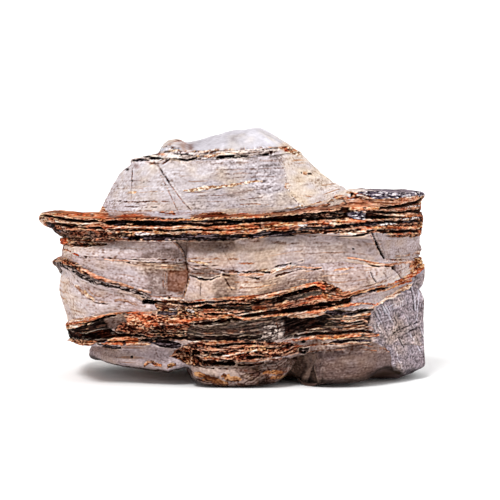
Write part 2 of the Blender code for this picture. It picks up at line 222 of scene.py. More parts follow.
# One stretch of rings: its top surface, the share of the way to it from the surface below,
# its outline at the bottom and at the top, how far it stands out, its bulge, and its rings
Layer = namedtuple("Layer", "surface share low high stand_out bulge rings")
FEET = (Layer("foot top", 1.0, "sole", "foot top", 0.0, 0.0, 76),)
LOWER = (Layer("lower top", 1.0, "lower", "lower", 0.0, 0.0, 112),)
LEFT_BED = (Layer("left bed top", 1.0, "left bed", "left bed", -1.0, 1.8, 50),)
MIDDLE = (
    Layer("middle bed top", 1.0, "left bed", "middle bed", 0.0, 1.0, 60),
    Layer("upper bed top", 1.0, "middle bed", "upper bed", 0.0, 1.2, 46),
)
BAND = (Layer("band top", 1.0, "band low", "band", 0.0, 0.0, 64),)
SHOULDER = (Layer("shoulder top", 1.0, "shoulder", "shoulder", 0.0, 0.2, 28),)
DOME = (
    Layer("dome top", 0.25, "dome foot", "dome low", 0.0, 0.0, 24),
    Layer("dome top", 0.5, "dome low", "dome middle", 0.0, 0.0, 22),
    Layer("dome top", 1.0, "dome middle", "dome top", 0.0, 1.0, 30),
    Layer("rim", 1.0, "dome top", "cap", 0.8, 0.3, 12),
)

# How high up the feet swell out from the sole: less than 1 for below the middle
FOOT_SWELL = 0.6

# Rings of the flat surfaces
SHELF_RINGS = 14
CAP_RINGS = 20
SOLE_RINGS = 12

# Shares of the way out of the rings on the shoulder, most of them where the dome leaves it bare
SHOULDER_SHARES = (0.96, 0.92, 0.87, 0.82, 0.77, 0.72, 0.67, 0.62, 0.56, 0.3)

# Rows of the front view that flat surfaces take their rock from: the cap, the shoulder, the
# sole, and the back of the shelf
CAP_ROWS = (100, 144)
SHOULDER_ROWS = (192.5, 250)
SOLE_ROWS = (362, 400)
SHELF_ROW = 214

# How much darker the feet are at the bottom, and the shares of their height it fades between
UNDERSIDE_SHADE = 0.5
UNDERSIDE_WAY = (0.2, 0.02)

# Length in pixels of the dome's stripes that stay on the front, and how far back they fade out
SHORT_STRIPE = 40
FRONT_FADE = (6, -12)

# Row of the front view where the dome ends
DOME_FOOT = 212

# Columns on each side that the colour of flat surfaces is a mean of
FLAT_REACH = 5

# Forms of the front and of the back, in millimetres: middle (x, z), half size, push out
FRONT_FORMS = {
    "left foot": ((-52, 11), (28, 12), -7.0),
    "gap beside the left foot": ((-23, 12), (3, 9), -4.0),
    "hollow between middle and right foot": ((36, 7), (7, 12), -15.0),
    "middle foot": ((3, 8), (22, 9), 3.0),
    "left dark block": ((-76, 28), (13, 7), 3.0),
    "step beside the left block": ((-57, 30), (5, 7), -4.0),
    "orange slab": ((-37, 35), (19, 4.5), 3.0),
    "left bulge": ((-58, 60), (27, 12), 3.5),
    "crack between left and middle beds": ((-25, 64), (3, 10), -5.0),
    "shaded recess": ((-12, 73), (15, 4), -4.0),
    "knob": ((-13, 50), (11, 7), 2.6),
    "middle block": ((-9, 69), (14, 7), -2.5),
    "left block": ((-52, 66), (24, 9), 1.5),
    "right end block": ((84, 70), (13, 6), -3.0),
    "light facet": ((74, 57), (11, 5), 2.0),
    "dark recess under the right plates": ((45, 33), (26, 5), -3.0),
    "left pale bed": ((-72, 48), (16, 12), 2.5),
}
BACK_FORMS = {
    "upright hollow": ((22, 60), (7, 26), -5.0),
    "broken corner": ((-62, 40), (20, 14), -5.0),
    "low bulge": ((-20, 30), (22, 12), 4.0),
    "right bulge": ((60, 64), (20, 10), 3.5),
    "scar of the dome": ((-24, 100), (16, 12), -4.0),
}

# A kind of rock: its grain, its dark, middle and light colours, from 0 to 255, how crumbly it
# is, how ragged its edges are in pixels, and how much of it covers what lies under it
Kind = namedtuple("Kind", "grain dark middle light crumble ragged cover")
KINDS = {
    "cap": Kind("massive", (142, 134, 137), (189, 183, 187), (218, 213, 218), 0.0, 0.8, 1.0),
    "dome": Kind("massive", (140, 121, 112), (188, 175, 176), (214, 205, 208), 0.0, 1.0, 1.0),
    "dome light": Kind("massive", (158, 140, 132), (189, 177, 176), (212, 204, 205), 0.0, 2.0, 0.9),
    "dome grey": Kind("massive", (122, 109, 108), (174, 162, 163), (210, 200, 201), 0.0, 3.0, 0.9),
    "dome cream": Kind("massive", (168, 147, 135), (206, 193, 188), (226, 217, 213), 0.0, 1.0, 0.95),
    "bed": Kind("massive", (118, 86, 72), (177, 154, 148), (210, 193, 190), 0.0, 1.2, 1.0),
    "bed light": Kind("massive", (150, 118, 104), (202, 183, 176), (230, 216, 211), 0.0, 1.4, 0.9),
    "bed grey": Kind("massive", (130, 107, 98), (174, 155, 151), (201, 185, 183), 0.0, 1.2, 0.9),
    "bed tan": Kind("massive", (78, 48, 37), (126, 103, 94), (180, 158, 148), 0.1, 1.6, 0.9),
    "bed brown": Kind("massive", (74, 38, 26), (114, 74, 58), (150, 111, 95), 0.1, 0.8, 0.95),
    "shade": Kind("massive", (60, 40, 31), (104, 82, 73), (142, 119, 109), 0.0, 1.6, 0.7),
    "foot": Kind("massive", (106, 86, 82), (162, 143, 141), (196, 177, 175), 0.1, 1.2, 1.0),
    "foot brown": Kind("marble", (34, 17, 12), (91, 67, 60), (143, 121, 115), 0.5, 1.6, 1.0),
    "foot dark": Kind("massive", (70, 52, 48), (96, 76, 72), (126, 107, 103), 0.1, 1.2, 1.0),
    # Painted shade: a dark brown for cavities and for the lower edges of the feet
    "hollow": Kind("massive", (40, 24, 20), (86, 67, 60), (140, 116, 108), 0.1, 1.0, 1.0),
    "fractured": Kind("massive", (82, 68, 70), (144, 129, 131), (188, 173, 176), 0.2, 1.0, 1.0),
    "speckled": Kind("crumbs", (58, 48, 64), (110, 98, 112), (212, 204, 216), 0.7, 0.8, 1.0),
    "slate": Kind("plates", (44, 30, 26), (76, 58, 51), (120, 98, 88), 0.6, 1.2, 1.0),
    "dark slate": Kind("plates", (6, 2, 2), (18, 9, 8), (42, 26, 22), 0.6, 1.2, 1.0),
    "crumbs": Kind("crumbs", (42, 7, 2), (132, 66, 39), (200, 147, 117), 1.0, 1.4, 1.0),
    "dark crumbs": Kind("crumbs", (20, 2, 1), (80, 32, 19), (152, 97, 73), 1.0, 1.6, 1.0),
    "orange crumbs": Kind("crumbs", (82, 24, 8), (184, 104, 68), (222, 174, 140), 1.0, 1.4, 1.0),
    "shelf": Kind("plates", (146, 80, 54), (222, 164, 134), (250, 216, 192), 0.7, 0.8, 1.0),
    "ochre crumbs": Kind("crumbs", (92, 44, 22), (164, 110, 72), (214, 168, 128), 0.7, 1.2, 0.95),
    "brown crumbs": Kind("crumbs", (30, 10, 5), (80, 45, 33), (140, 98, 80), 0.8, 1.6, 1.0),
    "rust": Kind("plates", (76, 22, 6), (156, 84, 54), (208, 158, 128), 0.7, 0.8, 0.95),
    "red": Kind("crumbs", (90, 20, 6), (174, 62, 31), (228, 122, 82), 0.6, 0.9, 1.0),
    "orange": Kind("plates", (114, 46, 20), (192, 112, 72), (226, 186, 156), 0.6, 0.9, 0.95),
    "cream": Kind("plates", (150, 98, 72), (220, 180, 156), (250, 232, 218), 0.5, 0.7, 0.95),
    "white": Kind("crumbs", (104, 78, 76), (212, 196, 196), (255, 253, 255), 0.7, 1.0, 0.95),
    "ledge": Kind("plates", (104, 88, 82), (182, 164, 156), (230, 218, 210), 0.4, 1.0, 0.9),
    "gold line": Kind("crumbs", (140, 92, 58), (204, 162, 124), (242, 218, 190), 0.5, 0.9, 0.85),
    "umber": Kind("plates", (40, 18, 10), (100, 59, 42), (168, 126, 104), 0.4, 1.1, 0.9),
    "hollow light": Kind("massive", (92, 72, 66), (116, 96, 90), (144, 124, 118), 0.1, 1.6, 0.9),
    "grey gap": Kind("massive", (40, 32, 34), (66, 56, 58), (104, 92, 94), 0.1, 0.6, 0.9),
    "grey edge": Kind("massive", (160, 148, 154), (202, 192, 198), (236, 228, 233), 0.2, 0.9, 0.8),
    "black crumbs": Kind("crumbs", (10, 2, 2), (48, 34, 32), (158, 138, 134), 0.8, 1.0, 1.0),
    "gold crumbs": Kind("crumbs", (146, 102, 72), (212, 180, 150), (246, 230, 212), 0.5, 1.2, 0.85),
    "hackly": Kind("massive", (92, 76, 70), (156, 140, 138), (200, 186, 184), 0.3, 2.4, 0.6),
    "fold": Kind("massive", (100, 78, 68), (138, 114, 104), (172, 148, 138), 0.1, 1.6, 0.85),
    "rust stain": Kind("marble", (64, 30, 14), (122, 76, 46), (180, 134, 96), 0.3, 2.2, 0.9),
    "grey crumbs": Kind("crumbs", (52, 40, 37), (120, 103, 98), (196, 180, 174), 0.8, 1.6, 0.95),
    "tan plate": Kind("plates", (146, 92, 66), (200, 146, 118), (234, 192, 168), 0.4, 0.8, 0.95),
    "brown": Kind("plates", (84, 44, 28), (150, 102, 80), (200, 156, 134), 0.4, 0.7, 0.9),
    "dark brown": Kind("plates", (28, 8, 4), (72, 38, 27), (138, 98, 80), 0.5, 0.8, 0.95),
    "black": Kind("plates", (8, 0, 0), (26, 6, 3), (62, 30, 20), 0.5, 1.0, 1.0),
    "blue black": Kind("plates", (4, 1, 2), (29, 18, 20), (110, 94, 100), 0.6, 0.9, 1.0),
    "tan line": Kind("plates", (120, 76, 54), (172, 130, 106), (224, 194, 172), 0.3, 0.8, 0.8),
    "faint line": Kind("plates", (92, 66, 58), (132, 106, 98), (186, 162, 154), 0.1, 0.8, 0.65),
}

# Kinds that are drawn as broken lines, with gaps between their pieces
BROKEN = ("tan line", "faint line", "dark brown", "brown", "white", "gold line", "umber",
          "grey gap", "grey edge")

# Tones and fills of the front: kind, push out in millimetres, softness of the border in
# pixels, and the corners in pixels
PATCHES = {
    "cap": ("cap", 0, 1, ((120, 100), (330, 100), (330, 146), (290, 145.5), (240, 150), (162, 150.5),
        (120, 152))),
    "dome grey": ("dome grey", 0, 12, ((196, 168), (280, 158), (288, 180), (302, 209), (250, 212),
        (196, 212), (170, 185))),
    "dome smooth": ("dome light", 0, 8, ((118, 168), (150, 164), (196, 160), (210, 172), (200, 190),
        (176, 196), (110, 200))),
    "ledges of the dome": ("ledge", 0.2, 0.8, ((142, 154), (165, 150.6), (200, 151.4), (240, 150.4),
        (262, 148.4), (284, 146), (286, 149), (270, 154.5), (240, 157.5), (218, 159), (196, 160),
        (186, 162), (170, 160), (144, 160))),
    "dome cream": ("dome cream", 0, 7, ((280, 152), (340, 140), (372, 200), (345, 206), (302, 210),
        (288, 190), (284, 170))),
    "dome hackly": ("dome grey", -0.2, 5, ((196, 190), (258, 184), (262, 200), (240, 202), (196, 199))),
    "knob of the cap": ("dome light", 0.5, 3, ((164, 140), (178, 138), (187, 142), (184, 148),
        (164, 148))),
    "corner of the cap": ("gold crumbs", 0.4, 4, ((276, 146.6), (284, 143), (292, 145), (299, 150),
        (302, 157), (293, 155), (283, 150))),
    "left block": ("bed", 0, 2, ((50, 236), (186, 236), (186, 290), (150, 304), (50, 262))),
    # Painted shade below the overhanging band at the left
    "under the band at the left": ("bed brown", 0, 5, ((58, 239), (130, 239), (106, 245), (86, 250),
        (62, 250))),
    # Painted light on the lit top of the bulging left block
    "left block top": ("bed light", 0, 6, ((62, 246), (120, 242), (165, 243), (150, 250), (110, 256),
        (64, 256))),
    "left block low": ("bed grey", 0, 6, ((84, 262), (126, 263), (150, 268), (140, 276), (100, 276))),
    "brown beside the panel": ("bed tan", -0.3, 8, ((140, 262), (188, 262), (188, 296), (150, 294),
        (146, 278))),
    "shadow facet": ("shade", -0.5, 5, ((138, 259), (142, 254), (160, 249), (172, 248), (184, 252),
        (186, 259))),
    "crack shade": ("shade", -1.6, 3, ((172, 237), (190, 237), (187, 250), (186, 262), (183, 254),
        (179, 247.5))),
    # Painted shade in the lower part of the crack between the left and the middle beds
    "crack foot": ("bed brown", -1.6, 3, ((184, 262), (188, 263), (190, 272), (188, 280), (186, 297),
        (182, 297), (185, 282), (186, 272))),
    "brown panel": ("bed brown", -0.9, 2.4, ((167.4, 270.6), (187, 269.6), (187.6, 280), (185, 291),
        (176, 293), (167, 291))),
    "middle block": ("bed", 0, 2, ((186, 236), (240, 236), (240, 270), (188, 270))),
    "under the band": ("shade", 0, 8, ((180, 236), (290, 232), (284, 241), (240, 247), (205, 246),
        (184, 248))),
    "right face": ("bed grey", 0, 6, ((236, 234), (376, 228), (386, 262), (340, 262), (236, 272))),
    "second bed": ("bed", 0, 2, ((222, 272), (330, 266), (366, 266), (380, 284), (330, 290), (225, 300))),
    # Painted shade on the bed just right of the knob
    "beside the knob": ("bed tan", 0, 6, ((222, 270), (236, 270), (238, 290), (226, 296))),
    "second bed brown": ("bed tan", 0, 8, ((262, 280), (300, 275), (330, 271), (330, 292), (262, 299))),
    "second bed light": ("bed", 0, 5, ((322, 268), (362, 270), (366, 284), (334, 281))),
    "right block": ("bed grey", -1.5, 1.5, ((376, 232), (422, 232), (422, 259), (386, 259))),
    "knob": ("bed", 1.8, 5, ((189, 281), (222, 280), (224, 299), (205, 303), (188, 302), (183, 295),
        (187, 285))),
    "light facet": ("bed light", 0.5, 1.5, ((362, 263), (380, 267), (392, 268), (402, 280), (385, 285),
        (370, 285))),
    "scallop": ("shade", -0.8, 2, ((189, 274), (196, 269.6), (205, 268), (214, 269.4), (221, 273),
        (214, 277.6), (205, 279), (196, 277.6))),
    "corner block": ("bed light", 0.5, 1.0, ((398, 263), (413, 262), (412, 275), (403, 278))),
    "left pale bed": ("bed light", 0, 2, ((50, 262), (80, 276), (100, 286), (150, 306), (150, 313),
        (110, 314), (68, 327), (40, 300))),
    "left pale shade": ("bed", 0, 4, ((78, 282), (100, 288), (145, 303), (140, 310), (112, 303),
        (88, 300))),
    "bulge at the right edge": ("fractured", 1.0, 0.8, ((408, 284), (416, 274), (423, 268), (427, 274),
        (426, 282), (418, 287))),
    "left foot": ("foot", 0, 1.5, ((86, 342), (186, 344), (194, 368), (165, 374), (86, 364))),
    "middle foot": ("foot brown", 0, 2, ((190, 362), (235, 364), (298, 356), (292, 380), (225, 392),
        (190, 380))),
    "middle foot light": ("foot", 0, 9, ((196, 365), (235, 366), (240, 374), (225, 378), (198, 374))),
    "right foot": ("foot dark", 0, 1.5, ((316, 350), (392, 346), (398, 378), (345, 384), (316, 384))),
    "right foot light": ("hollow light", 0, 12, ((335, 355), (390, 353), (394, 364), (350, 368))),
    "band": ("crumbs", 0, 1, ((30, 205), (97, 206), (101, 213.6), (110, 217), (190, 216), (262, 214),
        (345, 204), (372, 198), (430, 196), (430, 235.4), (385, 233), (345, 234), (300, 233), (262, 238),
        (190, 241), (120, 240), (60, 242), (30, 236))),
    "band left underside": ("brown crumbs", -0.5, 3, ((54, 229), (104, 231), (127, 230), (128, 239),
        (66, 240))),
    "shelf top": ("shelf", 0, 1, ((30, 206), (103, 206), (110, 217), (75, 219), (46, 215))),
    "lower left block": ("dark slate", 0, 0.8, ((60, 328), (80, 322), (110, 315), (114, 318), (112, 330),
        (118, 338), (98, 344), (60, 346))),
    "lower left recess": ("bed tan", -0.8, 2.5, ((103, 318), (114, 315), (127, 313.6), (130, 326),
        (121, 331), (108, 328))),
    "orange slab tail": ("dark crumbs", 0.5, 3, ((120, 322), (150, 326), (200, 322), (200, 340),
        (150, 342), (104, 346), (112, 338))),
    "orange slab": ("orange crumbs", 2.0, 4, ((124, 316), (140, 313), (160, 314), (175, 315.5), (205, 317),
        (203, 321), (190, 323), (178, 325), (165, 325), (150, 328), (140, 330), (128, 324))),
    "plates under the beds": ("crumbs", 0, 1, ((150, 299), (200, 303), (250, 297), (290, 289), (323, 281),
        (345, 292), (350, 298), (350, 306), (300, 314), (250, 318), (200, 324), (160, 314))),
    "slate": ("slate", -0.5, 1.5, ((190, 323), (250, 318), (285, 314), (330, 310), (374, 308), (374, 342),
        (300, 337), (262, 342), (200, 342), (186, 336))),
    "black slate": ("dark slate", -1.2, 9, ((284, 319), (330, 317), (326, 327), (310, 333), (282, 334))),
    "grey crumbs in the slate": ("grey crumbs", 0.5, 9, ((262, 326), (283, 323), (285, 338), (264, 342))),
    "small grey block": ("bed grey", 0.6, 1.0, ((350, 299), (378, 294), (388, 291), (390, 297), (378, 305),
        (370, 308), (350, 309))),
    # Painted shade on the right side of the rounded knob
    "side of the knob": ("bed tan", -0.6, 8, ((216, 281), (226, 280), (230, 298), (218, 301),
        (214, 290))),
    "top of the right foot": ("bed tan", 0, 2, ((294, 341), (392, 338), (397, 353), (316, 352),
        (298, 350))),
    "rust over the feet": ("dark crumbs", 0.5, 1.2, ((183, 345), (205, 341), (250, 340), (285, 342),
        (304, 345), (302, 352), (285, 356), (262, 359), (240, 363), (222, 366), (192, 366), (184, 362))),
    "rust on the left foot": ("crumbs", 0.4, 1.5, ((168, 357), (176, 350), (186, 345), (196, 350),
        (196, 366), (186, 363), (178, 359))),
    "fractured block": ("fractured", 0, 1.0, ((369, 325), (372, 311), (385, 300), (400, 288), (413, 284),
        (420, 290), (440, 300), (440, 380), (402, 382), (394, 372), (391, 356), (386, 347), (371, 341))),
    "lobe": ("foot dark", 1.0, 1.0, ((292, 373), (300, 357), (308, 353), (320, 353), (322, 386),
        (300, 388))),
    # Painted shade in the dark cavity at the left of the lobe
    "dark of the lobe": ("hollow", -1.5, 2.5, ((286, 376), (299, 357), (308, 354), (312, 360), (309, 371),
        (304, 382), (296, 384))),
    "left fold": ("fold", 1.6, 4, ((304, 356), (318, 353), (318, 362), (312, 367), (308, 380), (304, 385),
        (301, 381), (306, 368))),
    # Painted shade in the hollow between the folds
    "between the folds": ("hollow", -1.0, 2.5, ((312.4, 367), (314, 365), (316, 374), (317, 385),
        (307.6, 385))),
}

# Stripes of the front: kind, push out in millimetres, and (width, upper edge, lower edge) in
# pixels from the left to the right
STRIPES = (
    # Dome
    ("gold line", 0.2, ((160, 149.8, 150.5), (180, 149.6, 150.6), (205, 150.2, 151.3), (240, 148.8, 149.8),
        (262, 147, 148), (282, 145.4, 146.2))),
    ("umber", -0.4, ((196, 150.6, 151), (205, 151.2, 152.2), (240, 149.8, 150.4), (262, 147.8, 148.4))),
    ("blue black", -1.4, ((131, 160.6, 161), (134, 158.8, 161.8), (142, 158.6, 161.8),
        (150, 160.4, 161.2))),
    ("rust", 0.8, ((143, 154.2, 154.8), (148, 153, 154.4), (162, 153.2, 154.6), (168, 154, 154.6))),
    ("black", -1.4, ((140, 155.6, 156.2), (144, 155, 158), (150, 156.2, 159.6), (158, 156.4, 159.8),
        (164, 158, 159))),
    ("white", 0.6, ((142, 156.8, 158), (147, 158.4, 160), (154, 160.2, 161.6), (164, 158.8, 160.6),
        (172, 156.4, 158))),
    ("umber", -0.8, ((146, 162, 163.2), (152, 162.2, 164.6), (160, 162.4, 164), (166, 160.4, 162.4),
        (170, 158.4, 159.6))),
    ("white", 0.4, ((174, 152, 153), (184, 151.8, 154), (198, 152.5, 155), (202, 153.5, 154.5))),
    ("blue black", -0.6, ((174, 153.4, 154), (182, 154, 155.4), (190, 154, 155), (196, 154.4, 155))),
    ("blue black", -1.2, ((172, 157.6, 158.4), (178, 158, 160), (186, 159.4, 162), (192, 157.6, 160.4),
        (197, 156.2, 157.8))),
    ("gold line", 0.3, ((196, 154.6, 156), (208, 154.4, 157.2), (218, 153.8, 155.6))),
    ("umber", -0.8, ((199, 151.8, 152.6), (206, 152, 153.8), (212, 152.2, 154.6), (215.4, 153, 154))),
    ("black", -1.4, ((216, 157.6, 158.2), (220, 156, 158.8), (230, 155.2, 158.8), (240, 155.4, 157.8),
        (250, 156, 157))),
    ("white", 0.4, ((198, 157.4, 158.6), (206, 157.6, 159), (215, 158, 159))),
    ("tan line", 0.2, ((216, 153.2, 154), (240, 152.6, 153.8), (262, 151.2, 152))),
    ("umber", -0.5, ((259, 155.4, 156), (264, 154, 156), (268, 152.6, 154), (272, 152.8, 153.4))),
    ("faint line", -0.1, ((210, 163.4, 164), (232, 163, 164), (256, 162.6, 163.2))),
    ("faint line", -0.2, ((256, 160, 160.8), (270, 160, 161.2), (282, 160.6, 161.2))),
    ("faint line", -0.2, ((215, 169.4, 170), (240, 169, 170), (262, 168.4, 169.4), (284, 168.6, 169.2))),
    ("faint line", -0.2, ((210, 173.6, 174.2), (236, 173.2, 174.2), (270, 172.6, 173.2))),
    ("faint line", -0.1, ((226, 178, 178.6), (252, 176.6, 177.6), (276, 176.4, 177))),
    ("gold crumbs", 0.5, ((184, 190.4, 191.8), (194, 187.8, 191.6), (204, 186, 190.2), (216, 185.6, 188.6),
        (230, 184.4, 186.8), (246, 181.8, 184.2), (262, 180.2, 181.8))),
    ("umber", -0.3, ((198, 191.6, 192.2), (206, 190.2, 191.6), (214, 189.4, 190.6), (222, 188.8, 189.4))),
    ("faint line", -0.2, ((200, 195.4, 196), (222, 194, 195.2), (244, 191, 192.2), (258, 188.4, 189))),
    ("hackly", -0.3, ((214, 197, 198.4), (228, 192.4, 198), (240, 189.6, 196), (252, 187.4, 192.6),
        (264, 185.6, 188.6))),
    ("faint line", -0.2, ((206, 201, 201.8), (234, 200, 201), (262, 197, 198))),
    ("umber", -0.4, ((109, 200.6, 201), (118, 201, 201.9), (140, 201.3, 202.3), (152, 200.9, 202.2),
        (160, 201, 201.8), (169, 201.2, 201.6))),
    ("umber", -0.2, ((145, 207, 207.4), (155, 206.9, 207.8), (167, 207.1, 207.5))),
    ("gold line", -0.1, ((127, 192.2, 192.8), (131, 192.2, 193.6), (136, 191.8, 192.6))),
    ("faint line", -0.1, ((112, 207, 207.6), (128, 206, 207), (146, 205.6, 206.2))),
    ("tan line", -0.1, ((106, 210.4, 211), (120, 211.2, 212), (140, 210.6, 211.8), (158, 211, 212),
        (176, 211.4, 212.2), (192, 211.8, 212.4))),
    ("hackly", -0.2, ((218, 208, 209), (226, 206.4, 209.6), (236, 205.6, 209.4), (244, 206.8, 209.4),
        (252, 208.2, 209))),
    ("tan line", -0.1, ((240, 204.6, 205.2), (256, 204, 205), (272, 204.2, 204.8))),
    ("faint line", -0.1, ((112, 188.4, 189), (132, 188, 189), (150, 188.4, 189))),
    ("faint line", -0.1, ((126, 181, 181.6), (146, 180.6, 181.4), (156, 181, 181.4))),
    ("tan line", -0.1, ((148, 190.8, 191.4), (156, 190.4, 191.4), (164, 191.2, 191.8))),
    ("gold line", 0.3, ((284, 207.6, 208.2), (300, 205.6, 207.4), (312, 203.4, 205), (326, 200.8, 202.6),
        (341, 197.4, 199))),
    ("umber", -0.2, ((290, 209, 209.6), (304, 206.8, 208), (318, 204.8, 205.8), (334, 202, 203))),
    ("rust", 0.3, ((292, 210, 211), (302, 208.4, 210), (312, 207, 208.6), (330, 204, 206))),
    ("tan line", 0.1, ((292, 195.4, 196), (302, 195, 196), (312, 195.6, 196.2))),
    ("orange", 0.2, ((332, 197.6, 198.4), (336, 195, 199), (344, 194.6, 200), (350, 197, 204),
        (354, 202, 206))),
    ("gold crumbs", 0.3, ((346, 191.6, 192.6), (352, 191.4, 194.6), (358, 192.2, 195.6),
        (364, 194, 196.4))),
    # Band, left part
    ("orange", 0.6, ((40, 213.2, 215), (50, 211, 214.4), (62, 208.8, 215.6), (75, 211.5, 217.6),
        (90, 212.5, 218.6), (103, 213, 218.4), (108, 216, 218.6))),
    ("cream", 0.8, ((40, 212.6, 214.4), (46, 212.4, 214.8), (56, 211.6, 213.8), (64, 210.6, 212))),
    # Dark rock and painted shadow in the gap under the top plate
    ("black", -2.5, ((40, 214.6, 215.2), (46, 214.6, 217), (55, 215.8, 218.6), (62, 217.6, 221),
        (75, 219.4, 222.6), (90, 219.8, 222.9), (100, 219.8, 222), (105, 220, 220.8))),
    ("cream", 1.0, ((38, 218.4, 220.4), (48, 219.6, 221.6), (58, 221.4, 223), (66, 222, 223))),
    ("cream", 0.8, ((76, 222.8, 225), (90, 222.6, 224.4), (104, 221.6, 223.4))),
    ("black", -1.8, ((52, 223, 224), (60, 223.2, 226.2), (70, 224, 227.2), (77, 224.4, 227.6),
        (81, 226, 226.6))),
    ("orange", 0.8, ((78, 225.4, 227), (90, 224.6, 227.2), (106, 224, 226.6))),
    ("blue black", -1.5, ((86, 228, 228.6), (96, 227.2, 229.6), (106, 227, 230), (111, 228, 229))),
    ("blue black", -0.6, ((46, 221.6, 222.6), (51, 223, 227), (55, 226, 230.6), (59, 229, 232),
        (62, 231, 232.6))),
    ("rust", 0.4, ((56, 227.6, 229), (66, 227.8, 230), (80, 228, 230.4), (95, 230, 231.6))),
    ("orange crumbs", 0.8, ((98, 219.4, 221), (103, 218.6, 229), (108, 219, 234), (113, 224, 235),
        (119, 231.4, 234.6))),
    ("brown crumbs", -0.8, ((62, 231.6, 234), (74, 231.6, 238), (96, 231.6, 238), (112, 232, 239),
        (122, 234, 238))),
    ("crumbs", -3.0, ((60, 243.6, 246), (70, 240.4, 247), (80, 242, 247), (90, 243, 246.4),
        (106, 243.6, 245))),
    ("dark brown", -3.5, ((68, 244.6, 245.6), (78, 244.4, 246), (90, 244.4, 245.2))),
    ("red", -2.0, ((56, 239.6, 243.8), (62, 238.6, 244), (67, 238, 241.6))),
    # Band, middle part
    ("orange", 0.4, ((117, 216, 217), (122, 214.4, 218), (132, 213.8, 218), (142, 214.8, 217.4),
        (147, 216.4, 217))),
    ("dome", 0.2, ((146, 214, 216.6), (155, 212.6, 217), (166, 214, 218), (180, 215, 218),
        (190, 214, 218))),
    ("orange", 0.3, ((160, 212, 213), (168, 211, 214), (176, 213, 215))),
    ("rust", 0.6, ((195, 216, 217), (203, 213.4, 217.8), (212, 212.8, 218), (222, 212.6, 218),
        (228, 214, 217.4), (232, 215, 216))),
    ("rust", 0.6, ((230, 214, 216), (240, 212.8, 216.8), (252, 212.8, 216.8), (262, 214.4, 216))),
    ("orange", 1.2, ((102, 218.4, 219.4), (110, 217.8, 219.6), (130, 218.6, 220.4), (150, 218.8, 220.2),
        (170, 219.4, 221), (190, 218.8, 221), (210, 218.4, 220.6), (230, 217, 219), (250, 216.4, 218.6),
        (264, 215.4, 217.4))),
    ("blue black", -2.5, ((104, 222, 223), (110, 220.4, 225.8), (130, 220.4, 226), (150, 220.2, 226),
        (170, 221, 226), (185, 221.4, 226.6), (195, 221, 226), (210, 220.8, 222.8), (225, 219.6, 225.6),
        (240, 219, 224.4), (256, 218.6, 223), (262, 219, 222))),
    ("brown", -0.6, ((186, 222.6, 223.4), (200, 222.4, 224), (216, 222.2, 224), (226, 222, 222.8))),
    ("black", -2.0, ((188, 224.4, 225), (196, 223.6, 227), (208, 223.8, 228), (220, 223.8, 226.4),
        (228, 224, 225))),
    ("orange", 1.0, ((104, 227, 228), (115, 225.8, 228.6), (130, 225.8, 228.6), (150, 226, 228.6),
        (170, 226, 228.6), (185, 225, 229), (196, 226.6, 229), (210, 226.4, 229.4), (225, 225.2, 229),
        (240, 224, 228.4), (256, 223, 227.4), (270, 222, 226))),
    ("cream", 1.2, ((112, 226.4, 227.6), (140, 226.6, 227.8), (165, 226.6, 227.8), (182, 225.8, 227.4))),
    ("black", -1.5, ((108, 229, 229.8), (120, 229.4, 231), (140, 229.4, 231), (160, 229.8, 231.2),
        (180, 229.4, 231.2), (200, 228.8, 230.6), (215, 229.4, 231.4), (226, 229.2, 230.6),
        (240, 228.6, 229.8))),
    ("orange", 0.8, ((118, 231.4, 232.4), (150, 231, 232.6), (165, 231.4, 233), (190, 231, 233),
        (205, 231, 232.6), (220, 231.2, 234), (240, 230, 234), (258, 229.6, 233.6), (266, 229.6, 231))),
    ("blue black", -0.8, ((122, 237, 238), (130, 235.4, 240), (145, 234.6, 240), (160, 233.6, 240),
        (175, 234.4, 240.6), (190, 234.4, 241), (205, 234.8, 240.6), (225, 234.6, 240.2), (240, 234, 239),
        (255, 233.6, 238), (262, 230.4, 236.4), (275, 231, 236.6), (288, 231, 236), (302, 230, 233.6))),
    ("white", 1.0, ((126, 234, 235.6), (130, 232.4, 236.8), (134, 231.6, 234.8), (140, 231.6, 235),
        (146, 232, 235.6), (150, 232.6, 233.6))),
    ("cream", 0.8, ((152, 232.6, 234), (162, 232, 233.6), (172, 232.8, 234))),
    ("rust", 0.6, ((262, 228, 230), (280, 227, 230.6), (296, 226, 230), (310, 226, 230),
        (322, 224.4, 226.8))),
    # Band, right part
    ("dark crumbs", 0.0, ((368, 209, 231), (390, 207, 232), (410, 205, 233), (426, 203, 233))),
    ("brown", 1.0, ((258, 215.4, 216.4), (275, 213.4, 217), (290, 211.6, 216), (305, 209.6, 214),
        (320, 208, 212.4), (335, 206.6, 211), (348, 206, 210))),
    # Dark rock and painted shadow under the overhanging brown plate
    ("black", -4.0, ((254, 219, 222), (270, 217.8, 222.2), (285, 216.2, 222), (300, 214.6, 222),
        (310, 213, 221), (320, 212.4, 220.4), (335, 211.4, 219.6), (345, 208.6, 219.2), (350, 210, 218),
        (354, 214, 216))),
    ("dark crumbs", -2.0, ((304, 215.6, 216.4), (315, 214.6, 217.6), (326, 214, 217.6),
        (338, 214.4, 216.8), (345, 214, 215))),
    ("orange", 1.0, ((262, 222.6, 225), (275, 222, 225.6), (290, 222.6, 226), (300, 221.6, 225.6),
        (310, 221.4, 224), (320, 220.2, 222.4), (332, 220.4, 222), (345, 220, 223.6), (350, 219.4, 223),
        (360, 218, 221.6), (370, 217.4, 220), (380, 217, 219.6), (395, 215.4, 218), (410, 215, 217.4),
        (418, 214, 216.4))),
    ("crumbs", 0.2, ((300, 224, 228), (312, 223, 228), (324, 222, 227), (336, 221.6, 227.6),
        (342, 223, 225))),
    ("white", 0.8, ((298, 224, 225.4), (303, 223.4, 227), (308, 224, 226))),
    ("rust", 0.2, ((316, 221.6, 223), (321, 220.6, 225), (328, 220.8, 225), (331, 222, 223.6))),
    ("cream", 0.8, ((330, 222.6, 224), (335, 222.4, 229), (338, 223.6, 228))),
